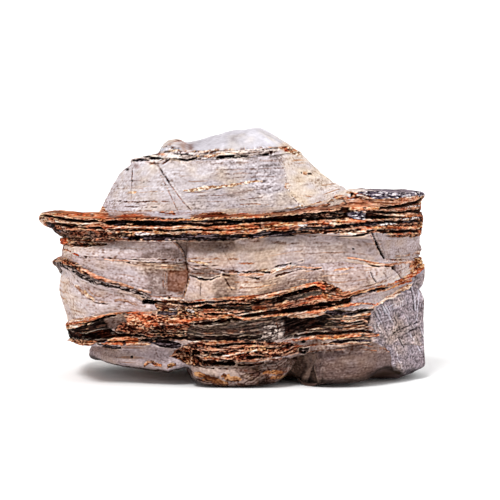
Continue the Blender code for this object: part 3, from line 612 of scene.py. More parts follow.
    ("blue black", -1.5, ((298, 228.6, 231), (306, 227, 230), (318, 226.6, 231.4), (330, 226.4, 229.6),
        (345, 224.4, 228.2), (360, 223, 226.6), (375, 221.4, 225.2), (390, 220.8, 224.2),
        (405, 220.4, 223.6), (422, 219, 221.6))),
    ("dark crumbs", -1.0, ((298, 231.4, 233), (306, 230.4, 236), (316, 229.8, 236), (324, 229, 232))),
    ("black", -1.2, ((314, 231.4, 232.6), (320, 230.4, 234), (328, 230.2, 233), (338, 229.4, 231.4))),
    ("orange", 0.8, ((330, 229.6, 230.4), (345, 228.6, 230), (358, 227, 228.4), (370, 227, 229),
        (380, 226.6, 229.2), (395, 226.4, 228.8), (410, 226.4, 228.6), (421, 225.6, 228))),
    ("cream", 1.0, ((340, 234, 235), (346, 232.4, 235), (355, 231, 234.6), (365, 229.4, 231.8),
        (371, 229, 230.2))),
    ("black", -1.0, ((344, 235.6, 237.4), (352, 235.6, 238), (362, 233.6, 236), (373, 231.4, 233.2))),
    ("black", -1.6, ((366, 230.6, 232), (378, 230, 232.6), (390, 230, 233), (405, 230, 232.6),
        (419, 229, 232))),
    ("rust", 0.6, ((386, 234, 235), (398, 233, 234.6), (410, 232.4, 234), (418, 232.4, 233.6))),
    ("dark crumbs", 0.2, ((388, 235.4, 236.2), (395, 234.8, 237), (405, 234, 237.2), (415, 233.6, 236.6),
        (420, 234, 235.4))),
    ("speckled", 0.6, ((358, 191.6, 193), (366, 190.4, 197), (380, 190.6, 199), (395, 190, 198.4),
        (405, 189.6, 197.8), (415, 189.8, 197), (425, 192, 195.4))),
    ("crumbs", 0.4, ((350, 192.6, 199), (358, 193, 199), (366, 195, 199.6), (374, 197.4, 199.4))),
    ("cream", 0.6, ((356, 193.8, 195.4), (362, 194.6, 196.4), (370, 197.6, 199.2), (380, 199, 200.2),
        (400, 197.8, 199.4), (418, 195.4, 197.2))),
    ("tan plate", 0.8, ((340, 203, 206), (350, 199.4, 209), (360, 198.6, 208), (372, 199.8, 206.8),
        (385, 200.6, 205.8), (400, 199.6, 203.8), (415, 197.6, 200.8), (421, 196, 198))),
    ("black", -2.2, ((378, 208, 209.4), (385, 206.4, 209.2), (395, 205.4, 208.2), (405, 203.6, 206.8),
        (415, 201, 204.8), (425, 195.6, 199.4))),
    ("rust", 0.8, ((384, 209.6, 211), (395, 208.6, 210.8), (408, 207, 209.8), (421, 205.8, 208.6))),
    ("orange", 0.4, ((345, 205.6, 210), (355, 205.4, 209.6), (365, 206, 210.4), (379, 207, 209.8))),
    ("speckled", -0.8, ((348, 213, 216), (354, 211, 219.6), (362, 211, 220), (370, 213, 219))),
    ("black", -2.0, ((366, 211.6, 214), (380, 210.6, 213.2), (390, 211.4, 213.6), (405, 211, 213.2),
        (415, 210, 213.2), (422, 209.4, 212.2))),
    ("tan plate", 0.6, ((386, 214.4, 216), (400, 214.4, 216.4), (416, 213.4, 215.6))),
    ("black", -2.4, ((366, 213.6, 219), (376, 213.6, 219.2), (385, 215, 219), (393, 215.6, 218.2),
        (400, 217.4, 218.2))),
    ("white", 0.5, ((394, 219, 219.8), (403, 217.8, 219.8), (412, 217.2, 219), (420, 216.6, 217.6))),
    ("white", 0.4, ((372, 224.6, 225.4), (384, 223.8, 225), (396, 223.4, 224.2))),
    ("white", 0.4, ((404, 207.4, 208.2), (413, 206, 207.4), (420, 204.8, 205.8))),
    # Middle beds, left block
    ("rust", -0.3, ((62, 248, 249), (68, 249.4, 251.6), (74, 252.4, 255), (79, 255.4, 257))),
    ("umber", -0.8, ((76, 255.4, 256.6), (90, 256, 258), (105, 256.8, 258.2), (120, 258.4, 259.6),
        (140, 259.2, 260.4), (160, 259.2, 260.4), (186, 259.4, 260.8))),
    ("tan plate", 0.3, ((104, 258.8, 259.6), (118, 259.8, 261), (130, 260.2, 261.2))),
    ("umber", -1.0, ((126, 262.2, 263), (131, 260.8, 264.2), (140, 261.4, 263.4), (160, 262.2, 263.2),
        (175, 262.8, 263.6), (187, 263, 264))),
    ("tan line", 0.1, ((134, 264.6, 265.4), (150, 264.2, 265.4), (166, 264.8, 266), (180, 265, 266))),
    ("brown", -0.8, ((156, 266.4, 267.4), (170, 267, 269), (178, 267.4, 269), (189, 268.4, 270))),
    ("faint line", -0.2, ((140, 284.4, 285.2), (152, 284.8, 286), (164, 285.4, 286.4))),
    ("brown", -0.4, ((148, 295.4, 296.2), (158, 296.2, 297.6), (170, 295.2, 296.6), (183, 293.8, 295))),
    ("cream", 0.6, ((160, 297.4, 298.4), (168, 297, 300.6), (178, 297.6, 300.8), (184, 299, 300))),
    # Middle beds, middle part
    ("gold line", 0.1, ((187, 259.6, 261.4), (198, 261.4, 263.6), (208, 263.6, 266))),
    ("umber", -0.2, ((190, 262.4, 263.2), (200, 264.4, 265.4), (212, 262, 263))),
    ("dark brown", -0.4, ((188, 264.4, 265), (198, 265.2, 266.2), (210, 266, 267), (220, 264.4, 265.2))),
    ("tan line", 0.0, ((186, 258.4, 259.2), (205, 258.8, 260), (222, 258.4, 259.6), (240, 258.6, 259.6))),
    ("tan plate", 0.1, ((238, 263, 263.6), (245, 262.8, 264.2), (254, 262.8, 263.8))),
    ("tan line", 0.4, ((192, 273.6, 274.6), (200, 273, 274), (210, 273, 274), (218, 273.6, 274.4))),
    ("white", 0.2, ((194, 276, 276.8), (202, 277.2, 278), (210, 277, 277.8))),
    ("umber", -0.7, ((189, 269.6, 271), (198, 268.8, 269.8), (212, 267.8, 269), (222, 268.6, 269.8))),
    ("brown", -0.2, ((192, 273.2, 274), (205, 273.4, 274.6), (218, 272.6, 273.6))),
    ("black", -1.0, ((190, 274.6, 276), (197, 277.2, 279), (205, 278.4, 280.4), (213, 277.8, 279.6),
        (220, 275, 276.6))),
    ("umber", -1.0, ((220, 269.4, 271.4), (230, 270.8, 273.2), (240, 271.6, 273), (250, 271.2, 272.6),
        (262, 270, 271.6), (272, 267.4, 268.8), (282, 265, 266), (292, 263.2, 264.4),
        (303, 261.4, 262.2))),
    ("tan plate", 0.5, ((228, 273.2, 274.4), (240, 273.4, 275.6), (252, 273.4, 276), (264, 273.6, 276))),
    ("umber", -1.2, ((222, 273.4, 276), (232, 275, 276.8), (245, 276.2, 277.4), (256, 277.4, 279.6),
        (262, 278, 280.6), (270, 276.6, 278.6), (280, 274, 275.6), (290, 271, 272.6), (300, 269, 270),
        (312, 269.6, 270.4), (321, 267.8, 268.6))),
    ("cream", 1.2, ((264, 271, 272.6), (272, 269.6, 274), (282, 267, 271), (295, 265.2, 268.4),
        (306, 264.6, 266.6))),
    ("black", -2.0, ((262, 271.4, 272.6), (266, 271.2, 274), (270, 271.4, 273.6))),
    ("tan plate", 0.5, ((298, 265.8, 267.4), (310, 267, 268.8), (321, 266.4, 268.4))),
    ("tan line", 0.2, ((306, 270.6, 272), (319, 269.6, 272), (324, 270, 271))),
    ("tan plate", 0.3, ((333, 269.6, 271.4), (340, 268.4, 270.6), (353, 266.2, 267.4))),
    ("tan line", 0.0, ((318, 276.6, 277.4), (332, 275, 276.2), (348, 272.6, 273.4))),
    ("tan line", 0.0, ((296, 279, 279.8), (304, 279, 280.6), (314, 278.8, 279.8))),
    ("tan line", 0.0, ((226, 287, 288), (240, 287.6, 289), (256, 286.4, 288), (276, 283.6, 285))),
    ("faint line", 0.0, ((228, 292, 292.8), (244, 291.8, 293.2), (262, 289.6, 291), (284, 286, 287.4),
        (300, 283, 284))),
    ("tan line", 0.0, ((230, 280.6, 281.6), (244, 281.4, 283), (262, 281.6, 282.6))),
    ("faint line", -0.1, ((240, 241, 242), (262, 240, 242.6), (285, 242, 244.6), (300, 243, 244))),
    ("faint line", -0.1, ((300, 247, 247.6), (330, 246, 247), (360, 244, 245))),
    ("faint line", -0.1, ((280, 254, 254.6), (310, 253.4, 254.4), (345, 252, 253))),
    # Middle beds, right part
    ("tan plate", 0.4, ((343, 257.4, 258), (352, 257.2, 259.4), (362, 259.4, 261.4), (372, 261.4, 264.6),
        (380, 262.4, 266), (388, 263.4, 266.8), (394, 262.4, 265.4), (402, 261.4, 263.4),
        (412, 260.2, 262), (421, 258.4, 261))),
    ("dark brown", -0.8, ((368, 264.4, 265), (380, 265.8, 267), (392, 266.4, 267.6))),
    ("brown", -0.8, ((384, 258.8, 260), (400, 259, 260.4), (412, 258.6, 260), (421, 257, 258.6))),
    ("tan line", 0.1, ((396, 255.6, 256.4), (408, 254, 256), (421, 250.8, 254))),
    ("orange crumbs", 0.5, ((410, 262.4, 276), (415, 258, 275), (422, 257, 268))),
    ("tan line", 0.1, ((366, 286, 287), (376, 282.4, 284.4), (386, 279.6, 281.4))),
    ("orange", 1.0, ((333, 296.4, 297.4), (345, 293.4, 296), (355, 291.4, 295), (365, 289, 292.4),
        (378, 286, 288.6), (390, 282.4, 286), (400, 278.4, 282.6), (410, 273.4, 278.6), (418, 268.4, 273),
        (424, 263, 267))),
    ("blue black", -1.6, ((350, 296.6, 297.4), (356, 295.2, 297), (365, 292.2, 294.6), (372, 289.6, 293),
        (380, 287.4, 290.6), (388, 286.4, 288))),
    ("orange", 0.6, ((376, 291.4, 292.2), (390, 287.4, 289.6), (400, 283, 285.4), (411, 278.6, 281))),
    ("cream", 0.8, ((370, 306.4, 308), (382, 300, 303.6), (392, 293.6, 298.6), (402, 287, 292.4),
        (411, 282.6, 286))),
    # Second plate and left bed
    ("crumbs", 2.2, ((54, 260, 261.4), (60, 257.6, 263), (66, 257.6, 265), (72, 260, 266.6),
        (80, 264, 271), (88, 270, 276), (98, 275.6, 280.2), (106, 278.4, 281.6))),
    ("tan plate", 1.6, ((82, 266.4, 268), (90, 271.6, 274.6), (98, 275.2, 278.6), (110, 279.4, 282.8),
        (125, 283.8, 286.4), (140, 288.4, 290.8), (151, 291.2, 293))),
    ("umber", 0.6, ((100, 278.6, 279.8), (112, 282, 283.4), (126, 286, 287.2), (142, 291, 292.2),
        (152, 295, 296.2))),
    ("black crumbs", 0.6, ((54, 261, 262.6), (60, 262, 266.2), (66, 264, 269.2), (74, 266, 272.6),
        (80, 273, 277.6), (88, 277, 281.6), (97, 280.4, 285), (108, 283.4, 286.8), (118, 285.4, 288.4),
        (128, 288.4, 291.8), (138, 291.4, 295), (145, 295, 299.4), (154, 299.4, 303))),
    ("tan line", 0.3, ((74, 285.4, 287), (79, 287.4, 290.6), (84, 291, 295), (90, 296, 299.2),
        (97, 301, 303.6), (105, 301.8, 304.2), (113, 299.6, 302.2), (120, 298.8, 301.4),
        (128, 300.4, 303.2), (136, 303.4, 306), (145, 305.6, 308))),
    ("umber", -0.6, ((82, 293.8, 294.6), (90, 298.6, 299.6), (97, 303, 304), (107, 303.8, 304.8),
        (116, 301.6, 302.4), (124, 302.2, 302.8))),
    ("gold line", 0.2, ((72, 283, 283.8), (80, 286.4, 288.4), (88, 293, 295), (95, 299, 300.4))),
    ("tan line", 0.1, ((80, 283.4, 284), (88, 289, 290), (96, 295, 296), (102, 297.4, 298))),
    ("black", -3.5, ((142, 299.6, 304), (147, 299, 304.8), (153, 300.4, 305), (157, 302, 304))),
    ("dark brown", -1.0, ((155, 300, 305), (160, 301, 307), (168, 305, 310.6), (176, 307, 311.4),
        (180, 309, 310.6))),
    ("cream", 0.6, ((69, 320.6, 323), (76, 318.4, 321), (86, 316.6, 319.6), (96, 314.8, 317.4))),
    ("orange", 1.4, ((66, 323.6, 326.6), (75, 322, 324.6), (83, 320, 322.6), (92, 317.4, 320.6),
        (100, 315.4, 318.4), (110, 313.4, 316), (122, 311.6, 313.8), (135, 311.4, 313.2),
        (152, 311.6, 313.4))),
    ("black", -1.6, ((74, 325.2, 325.8), (85, 322.6, 324.6), (95, 319.4, 321.4), (105, 316.4, 318.4),
        (116, 314.4, 316))),
    ("cream", 0.8, ((64, 328, 330), (72, 325.4, 329), (80, 323.8, 326.4), (90, 322.2, 323.6))),
    ("dark brown", 0.3, ((70, 332, 333.2), (80, 329.6, 331), (95, 326.6, 328), (109, 324, 325.4))),
    ("umber", 0.3, ((72, 333.4, 334), (84, 331.6, 332.4), (96, 329.6, 330.2))),
    ("black", -1.8, ((66, 330.4, 331.4), (71, 331.4, 336), (76, 333.4, 338.6), (86, 334, 338.6),
        (98, 331, 339.4), (110, 329.4, 338.6), (116, 333, 337.8), (121, 335, 337.4))),
    ("crumbs", 1.2, ((64, 340.6, 343), (72, 339, 344.6), (80, 340.4, 345.8), (90, 340.4, 344.8),
        (98, 341, 343))),
    ("cream", 1.2, ((64, 340.6, 341.8), (69, 339.4, 341), (75, 339.8, 340.8))),
    # Plates under the beds
    ("umber", -1.6, ((156, 301, 302.4), (168, 300.8, 303.4), (176, 301.4, 304), (184, 302.6, 305))),
    ("blue black", -1.4, ((178, 302.6, 303.6), (185, 303.4, 306.2), (195, 302.8, 305.2),
        (210, 301.8, 303.6), (226, 300.2, 302.2), (236, 300, 301))),
    ("blue black", -1.0, ((158, 311, 314.4), (164, 311.4, 315.4), (170, 312.4, 315.6),
        (178, 311.6, 313.8))),
    ("white", 0.6, ((170, 308.6, 309.4), (178, 307.6, 310.6), (186, 308.4, 311.4), (194, 310, 312.4))),
    ("black", -2.8, ((196, 307.4, 308.6), (206, 305.4, 309.4), (225, 304.4, 309.6), (240, 303.4, 311),
        (252, 301.4, 311), (265, 299, 308.6), (278, 296.4, 304), (290, 293, 298.6), (300, 290, 294.6),
        (310, 286.8, 291), (318, 285.8, 289), (323, 286.6, 288))),
    ("orange", 1.6, ((193, 300.4, 301.6), (210, 298.6, 300.8), (225, 297, 300), (240, 296, 300),
        (252, 295, 299), (265, 293.4, 297.8), (278, 291.4, 295.6), (290, 288.4, 292.2), (300, 285.4, 289),
        (310, 282.8, 286.6), (318, 281.2, 286), (323, 282.6, 289), (326, 287, 291))),
    ("red", 1.6, ((314, 282.4, 284), (319, 281.6, 287.4), (323, 283, 290), (326, 287, 291))),
    ("brown", -1.6, ((228, 306.6, 307.4), (244, 306, 307), (260, 303.4, 304.4), (276, 299.6, 300.6))),
    ("umber", -1.8, ((212, 306.4, 307.6), (236, 308.6, 309.6), (256, 306.4, 307.4), (270, 302, 303))),
    ("brown", 0.4, ((196, 310.4, 312.6), (215, 310, 313), (235, 310.8, 313.6), (252, 311, 313),
        (268, 308.4, 310.4), (282, 303.8, 306.2), (292, 299, 302))),
    ("black", -1.2, ((204, 313.4, 315), (220, 312.8, 315.4), (235, 312, 314.2), (250, 311.4, 313.4))),
    ("cream", 0.6, ((200, 312, 313), (218, 311.2, 312.4), (236, 314.4, 315.6), (250, 313, 314.4),
        (262, 309.6, 311))),
    ("black", -1.4, ((232, 317, 318.6), (245, 315, 317.6), (256, 312, 314.4), (262, 311.6, 313))),
    ("rust", 0.8, ((252, 306.4, 309.4), (270, 304, 308.4), (285, 302.4, 306.4), (300, 299.8, 305),
        (312, 296.4, 302.6), (325, 293.8, 301.4), (338, 292, 299.6), (351, 290.6, 296.6))),
    ("slate", 0.2, ((286, 298, 300), (298, 294.4, 299.6), (310, 291.6, 296.4), (322, 290.4, 294))),
    ("black", -2.2, ((194, 323, 325), (210, 321.4, 325), (225, 319.4, 322.8), (240, 316.4, 320.4),
        (252, 313.6, 317.2), (262, 311.4, 314.8), (275, 309.4, 313.6), (290, 308, 313.2),
        (305, 306, 312.2), (320, 303, 309.4), (335, 301, 306.4), (345, 299, 304.6), (352, 296, 301.6))),
    ("orange", 1.2, ((160, 319.6, 321), (180, 320, 322.6), (200, 317.4, 320.4), (215, 316, 318.8),
        (230, 314, 316.8), (245, 318.6, 320.4), (258, 316.6, 318.4), (275, 314.6, 316.6),
        (290, 313.4, 315.6), (305, 312, 314.2), (320, 309.4, 312.6), (335, 306.4, 309.6),
        (350, 303.4, 306.2), (362, 302.6, 304.6), (377, 302.4, 304))),
    ("white", 0.8, ((194, 320.6, 322), (201, 320, 322.4), (208, 320.2, 321.4))),
    ("cream", 0.4, ((288, 314.6, 317), (300, 314, 318.4), (316, 312.6, 316.6), (330, 310.4, 311.6))),
    ("blue black", -1.6, ((324, 312, 313.2), (331, 309.4, 315.2), (340, 310.8, 314.8), (350, 312, 315.6),
        (362, 310, 312.6), (374, 308, 310))),
    ("white", 0.6, ((345, 309.6, 311), (356, 308.6, 310.2), (368, 307.4, 308.6))),
    ("orange", 0.6, ((343, 316, 317.4), (358, 314.4, 316.2), (371, 312, 314.6))),
    ("tan line", 0.3, ((326, 319, 320), (350, 317.6, 318.6), (369, 316.4, 317.6))),
    ("tan line", 0.3, ((326, 324, 325), (350, 325, 326.2), (372, 326, 327.2))),
    ("cream", 0.4, ((340, 320, 321.6), (350, 319.2, 322), (362, 318, 320), (368, 321, 323))),
    ("black", -0.8, ((342, 321.6, 323), (352, 322, 323.6), (363, 320, 322.4))),
    ("tan line", 0.4, ((306, 329, 330.2), (340, 328, 329.2), (373, 327.6, 329.2))),
    ("black", -1.2, ((293, 335.6, 337), (310, 333.4, 335.8), (325, 332.4, 334.8), (340, 331.4, 333.6),
        (355, 330.4, 333), (373, 330, 333.2))),
    ("orange", 1.2, ((283, 341, 342.6), (300, 338, 340.8), (312, 336, 339.8), (325, 335, 339.6),
        (340, 334.4, 338), (355, 333.4, 337), (370, 333.4, 337), (378, 333, 336))),
    ("blue black", -1.0, ((323, 343.4, 344.4), (335, 340.4, 344), (345, 339.4, 342.6), (358, 339.4, 342.2),
        (371, 339, 341.2))),
    ("slate", 0.2, ((196, 327, 328.4), (225, 325.6, 327.2), (255, 323.6, 325), (276, 321.4, 322.6))),
    ("black", -0.8, ((150, 332, 333), (165, 331.4, 332.8), (184, 332, 333.4))),
    ("dark slate", -0.8, ((150, 337.4, 339), (170, 336.4, 339), (195, 336.6, 341), (225, 336.6, 340.6),
        (250, 336, 339.6), (262, 335.6, 338))),
    ("tan line", 0.2, ((190, 334.4, 335.2), (215, 333, 334), (245, 331.6, 332.4))),
    # Rust above the feet
    ("orange", 0.8, ((108, 340, 341.4), (116, 337.4, 340.4), (126, 336.4, 339.8), (138, 337.4, 340.6))),
    ("orange", 0.8, ((102, 343, 344.6), (115, 342.4, 345), (130, 341, 345), (142, 342.6, 345.2),
        (150, 344, 345.4))),
    ("black", -1.6, ((112, 333.4, 334.4), (120, 333.8, 336.4), (135, 333.6, 336.6), (147, 336, 337.6))),
    # Painted shadow at the top of the left foot, under the plates that overhang it, in these two stripes
    ("blue black", -1.5, ((98, 343.4, 345), (105, 344.4, 348), (115, 346, 348.8), (121, 347, 349))),
    ("blue black", -1.8, ((143, 338.4, 341), (152, 338.6, 344), (160, 339.4, 346.4), (172, 341, 348.4),
        (181, 344.4, 349))),
    ("rust", 0.9, ((206, 342.6, 345), (222, 340.8, 343.6), (240, 341, 343), (256, 341.6, 343.4))),
    ("black", -1.4, ((208, 346, 348), (222, 344.4, 347), (240, 343.6, 346), (256, 342.8, 344.4))),
    ("rust", 0.7, ((202, 349, 352), (220, 348, 350.6), (240, 346, 348.6), (256, 344.6, 346.8),
        (275, 344.8, 347))),
    ("black", -1.8, ((192, 350, 356), (200, 350.6, 355.4), (209, 351.4, 353.6))),
    ("crumbs", 1.2, ((218, 357, 360), (226, 354, 359), (234, 351.8, 357.6), (246, 348.8, 355.6),
        (258, 347.8, 353), (270, 350, 354), (285, 351, 353.6), (298, 349.4, 351.6))),
    ("cream", 1.4, ((222, 355.6, 357.4), (234, 353.4, 355), (246, 350.6, 352.6), (257, 349, 350.6))),
    ("black", -1.5, ((211, 354, 356), (222, 353.2, 355.4), (236, 350.8, 352.4))),
    ("rust", 0.6, ((204, 357.4, 359), (212, 356.6, 359.8), (221, 358, 360.6))),
    ("black", -2.0, ((203, 360.6, 362.6), (212, 360.6, 364.6), (222, 361, 365.6), (231, 359.4, 366),
        (235, 362, 364.4))),
    ("black", -1.6, ((246, 357, 360), (252, 356, 360), (262, 356.4, 358.4), (268, 357.4, 358.2))),
    ("brown", 0.6, ((262, 356, 357.8), (275, 354.4, 356.6), (290, 353.2, 355.6), (302, 351.4, 353.4))),
    ("brown", 0.3, ((238, 361, 362), (252, 360.8, 362.4), (268, 359, 360.6), (285, 357, 358.6))),
    ("dark brown", -0.8, ((238, 364, 366.4), (250, 364, 366), (264, 362, 363.8))),
    ("brown", 0.4, ((300, 346, 348.6), (315, 344, 346.4), (330, 342.8, 344), (345, 342.8, 344.2),
        (360, 343.6, 345), (375, 345.6, 347.2), (385, 348.6, 350.4), (392, 352, 354))),
    ("brown", 0.3, ((303, 353, 354), (320, 350, 351.2), (340, 348.8, 350), (360, 348.6, 349.8),
        (377, 349.6, 350.8))),
    # Painted shade in a small cavity beside the right foot
    ("black", -4.0, ((299, 349, 353), (303, 348.2, 354), (308, 348.6, 352))),
    # Feet
    # Painted shadow along the lower edge of the left foot
    ("hollow", -0.4, ((92, 359.6, 362), (98, 362, 365), (120, 365.2, 369), (150, 369.2, 373),
        (168, 370.8, 375), (175, 368.8, 373), (190, 367.6, 371))),
    ("ochre crumbs", 0.4, ((143, 364.4, 367.4), (147, 360.4, 365), (151, 361, 364), (156, 363, 367),
        (162, 364.4, 368))),
    ("ochre crumbs", 0.4, ((167, 364.6, 368.6), (170, 363.4, 368), (176, 363.6, 366.4))),
    ("rust stain", 0.2, ((194, 372.6, 374), (198, 371.6, 377), (204, 373.4, 379.6), (212, 377, 382.6),
        (220, 380, 384.6), (228, 383, 386))),
    ("umber", -0.2, ((204, 380.4, 381), (216, 382.6, 384), (228, 384.4, 386), (240, 384, 385))),
    ("rust stain", 0.2, ((221, 375, 376.4), (228, 374, 381), (236, 375.6, 382), (242, 378, 380))),
    ("rust stain", 0.2, ((262, 374, 375), (268, 371, 374.6), (276, 370.4, 374), (283, 371.4, 373.4))),
    ("rust stain", 0.1, ((266, 378.6, 379.4), (272, 376.6, 380), (280, 375.6, 379), (287, 374.6, 376.6))),
    ("umber", -0.2, ((246, 379.4, 380), (252, 374.4, 375.4), (262, 375.6, 376.4), (270, 377.8, 378.6),
        (282, 376, 377))),
    ("umber", -0.2, ((196, 366.6, 367.4), (212, 367.6, 369), (226, 368, 369.4), (238, 367.4, 368))),
    ("faint line", -0.1, ((244, 368, 369), (262, 367.4, 368.4), (280, 364.6, 365.6))),
    ("foot dark", -0.2, ((320, 366, 367), (345, 366.4, 368), (370, 367.4, 368.6), (388, 368.6, 369.6))),
    # Painted shade at the lower right corner of the right foot
    ("hollow", -0.6, ((384, 371, 373), (392, 370, 375), (400, 371.4, 377), (404, 375, 377))),
    ("foot dark", -0.2, ((322, 373.4, 374.2), (345, 374, 375.4), (368, 374, 375))),
)

# Teeth along the upper edge of the grey block: their number, the step from one to the next,
# and the two ends of the first, in pixels
TEETH = 7
TOOTH_STEP = (2.2, -0.9)
FIRST_TOOTH = ((388.6, 306.6), (390, 311))

# Cracks of the front: kind, push out in millimetres, half width in pixels, and places
CRACKS = (
    ("dark brown", -0.9, 0.8, ((156, 164), (158.6, 167), (162.5, 173), (165.6, 177.4), (169, 182.6))),
    ("brown", -0.5, 0.42, ((169, 182.6), (174, 190), (178.4, 196), (183, 201.8), (191.7, 211))),
    ("dome cream", 0.2, 0.4, ((170.4, 181.8), (175.4, 189), (180, 195.2), (185, 201.4), (193.4, 211))),
    ("brown", -0.3, 0.36, ((159, 172), (163.6, 181), (168, 190), (174, 203), (178.4, 212))),
    ("dark brown", -0.3, 0.45, ((132.4, 168), (132.4, 174), (131.6, 180), (131.4, 187))),
    ("faint line", -0.1, 0.29, ((131.4, 187), (131, 194), (131, 200))),
    ("faint line", -0.1, 0.29, ((123, 171), (127, 169), (130, 166))),
    ("white", 0.2, 0.43, ((287, 187), (290, 193), (296, 201), (303, 209))),
    ("white", 0.1, 0.29, ((280, 155), (284, 165), (286, 178), (287, 187))),
    ("dark brown", -0.3, 0.5, ((341, 196.5), (343.5, 200), (346.5, 204))),
    # Painted highlight on the rounded edge of the left block above the crack
    ("tan line", 0.2, 0.6, ((169, 239.6), (173, 241.6), (177, 245), (181, 250), (183.4, 255))),
    ("dark brown", -1.2, 0.4, ((176, 242), (180, 246), (184, 252), (185.4, 258), (186, 264))),
    ("dark brown", -1.6, 0.55, ((185.6, 258), (186, 264), (187.4, 270), (187.8, 277))),
    ("dark brown", -1.2, 0.5, ((187.8, 277), (187, 284), (185, 291), (183.6, 295))),
    # Painted highlight on the left edge of the knob
    ("gold line", 0.3, 0.5, ((189.6, 279), (188, 285), (185.6, 292), (184.6, 297))),
    ("tan line", 0.3, 0.4, ((165.6, 273), (165.4, 281), (165.6, 290))),
    ("brown", -0.3, 0.43, ((163.4, 272), (163, 281), (163.6, 288))),
    ("faint line", -0.2, 0.36, ((223, 250), (228, 259), (231, 265), (235, 271))),
    ("faint line", -0.2, 0.29, ((201.6, 281), (200.6, 290), (200.8, 300))),
    ("dark brown", -0.5, 0.72, ((223, 275), (226, 281), (229, 286), (232, 290))),
    ("black", -1.2, 0.79, ((372.6, 233), (375.6, 240), (378.6, 247), (381.4, 252.6), (384.6, 258.4))),
    ("black", -1.4, 1.25, ((376.8, 243.4), (379, 249), (381.8, 253.6), (384.4, 257.6))),
    ("tan line", 0.2, 0.5, ((370, 233), (373, 240), (376, 247), (379.6, 253.6))),
    ("black", -0.5, 0.5, ((371, 272.4), (373, 277), (375.6, 281.6))),
    ("faint line", -0.2, 0.29, ((383, 272.6), (385.6, 276), (387.6, 279))),
    ("dark brown", -0.9, 0.58, ((395, 270), (399, 275), (403.4, 279.6))),
    ("faint line", -0.2, 0.36, ((317, 280), (319, 276.6))),
    ("faint line", -0.1, 0.29, ((66, 272), (69, 279), (71, 286))),
    ("faint line", -0.1, 0.29, ((71, 271), (74, 277), (79, 283))),
    ("brown", -0.4, 0.43, ((164, 326), (165, 334))),
    ("dark brown", -0.5, 0.43, ((276, 322.6), (278, 329), (277.4, 338))),
    ("faint line", -0.1, 0.29, ((155.4, 350), (157, 354), (157, 359))),
    ("fold", 0.4, 0.7, ((317, 357), (313, 364), (309.8, 372), (306, 381))),
    ("fold", 0.4, 0.5, ((313.6, 364), (315.4, 371), (317.4, 378), (319, 382))),
    ("grey gap", -0.8, 0.6, ((393, 334), (397, 331), (403, 328.6), (410, 325), (419, 321.6))),
    ("grey gap", -0.8, 0.6, ((398.6, 339), (404, 335), (410, 331.4), (420, 327))),
    ("grey gap", -0.8, 0.6, ((399.6, 338), (402, 344), (404.6, 351))),
    ("grey gap", -0.6, 0.5, ((395, 318), (399, 325), (401, 331))),
    ("grey gap", -0.6, 0.5, ((411.4, 286), (413.4, 300), (414.6, 312), (416, 322))),
    ("grey gap", -0.8, 0.6, ((417, 270), (415, 278), (412.4, 285))),
    ("grey edge", 0.4, 0.5, ((386, 311), (389.4, 317), (392.4, 322), (396.4, 330))),
    ("grey edge", 0.4, 0.6, ((417.4, 290), (418.4, 300), (418, 311), (415.6, 320))),
    ("grey edge", 0.4, 0.5, ((412.6, 287), (415, 300), (415.6, 310))),
    ("grey edge", 0.4, 0.6, ((409.4, 331), (412, 338), (416.4, 345), (419.6, 351))),
    ("grey edge", 0.4, 0.5, ((396, 352), (398.6, 360), (403, 370))),
    ("grey edge", 0.3, 0.4, ((387.6, 307), (394, 304.4), (403, 300.4))),
) + tuple(
    ("grey edge", 0.3, 0.35,
        tuple((x + TOOTH_STEP[0] * tooth, y + TOOTH_STEP[1] * tooth) for x, y in FIRST_TOOTH))
    for tooth in range(TEETH)
)

# Small spots and holes of the front: kind, push out in millimetres, middle and half size in
# pixels
SPOTS = (
    ("black", -0.8, (266, 154.6), (3.4, 1.4)),
    ("dark brown", -0.6, (271, 152.6), (1.6, 1.8)),
    ("dark brown", -0.4, (263, 149.6), (0.9, 0.9)),
    ("dark brown", -0.8, (284.6, 146.8), (2.8, 1.5)),
    ("rust", 0.4, (286.4, 150), (2.6, 1.6)),
    ("black", -0.8, (292.4, 147.6), (1.6, 1.4)),
    ("orange", 0.4, (295.6, 149.6), (2.6, 1.4)),
    ("dark brown", -0.8, (299, 151.4), (1.5, 1.4)),
    ("tan line", 0.2, (287.4, 186), (2.6, 3.4)),
    ("dome cream", 0.2, (287.8, 186), (1.6, 2.2)),
    ("dark brown", -0.8, (310, 173.8), (2.3, 1.1)),
    ("tan line", -0.2, (305, 173.4), (2.4, 1.8)),
    ("dark brown", -0.3, (301, 172.6), (0.7, 0.6)),
    ("dark brown", -0.4, (328, 203.6), (1.4, 0.9)),
    ("dark brown", -0.3, (143.4, 182), (0.8, 0.6)),
    ("brown", -0.2, (190.6, 144.4), (1.4, 0.9)),
    ("rust", 0.2, (179, 141), (3.0, 0.9)),
    ("brown", -0.2, (172, 147.6), (1.4, 1.0)),
    ("foot", 0.2, (137, 166.4), (3.4, 3.0)),
    ("dark brown", -0.3, (127, 169.4), (1.6, 1.2)),
    ("black", -3.0, (345.4, 209.6), (4.0, 2.6)),
    ("black", -0.8, (353.4, 249), (1.3, 0.9)),
    ("black", -3.0, (394, 267.8), (3.2, 2.8)),
    ("black", -0.8, (169, 298), (1.4, 1.1)),
    ("black", -0.8, (131.4, 357), (1.4, 1.5)),
    ("rust", 0.2, (241.6, 287.4), (2.0, 1.1)),
    ("black", -1.2, (303, 341.8), (2.6, 1.8)),
    ("dark brown", -0.3, (174, 141.6), (1.6, 0.8)),
    ("brown", -0.3, (169.4, 144.4), (1.8, 0.7)),
    ("dark brown", -0.3, (178, 145), (1.8, 0.7)),
    ("brown", -0.2, (184, 143.6), (1.6, 0.7)),
    ("dark brown", -0.3, (167, 146.8), (1.4, 0.7)),
)

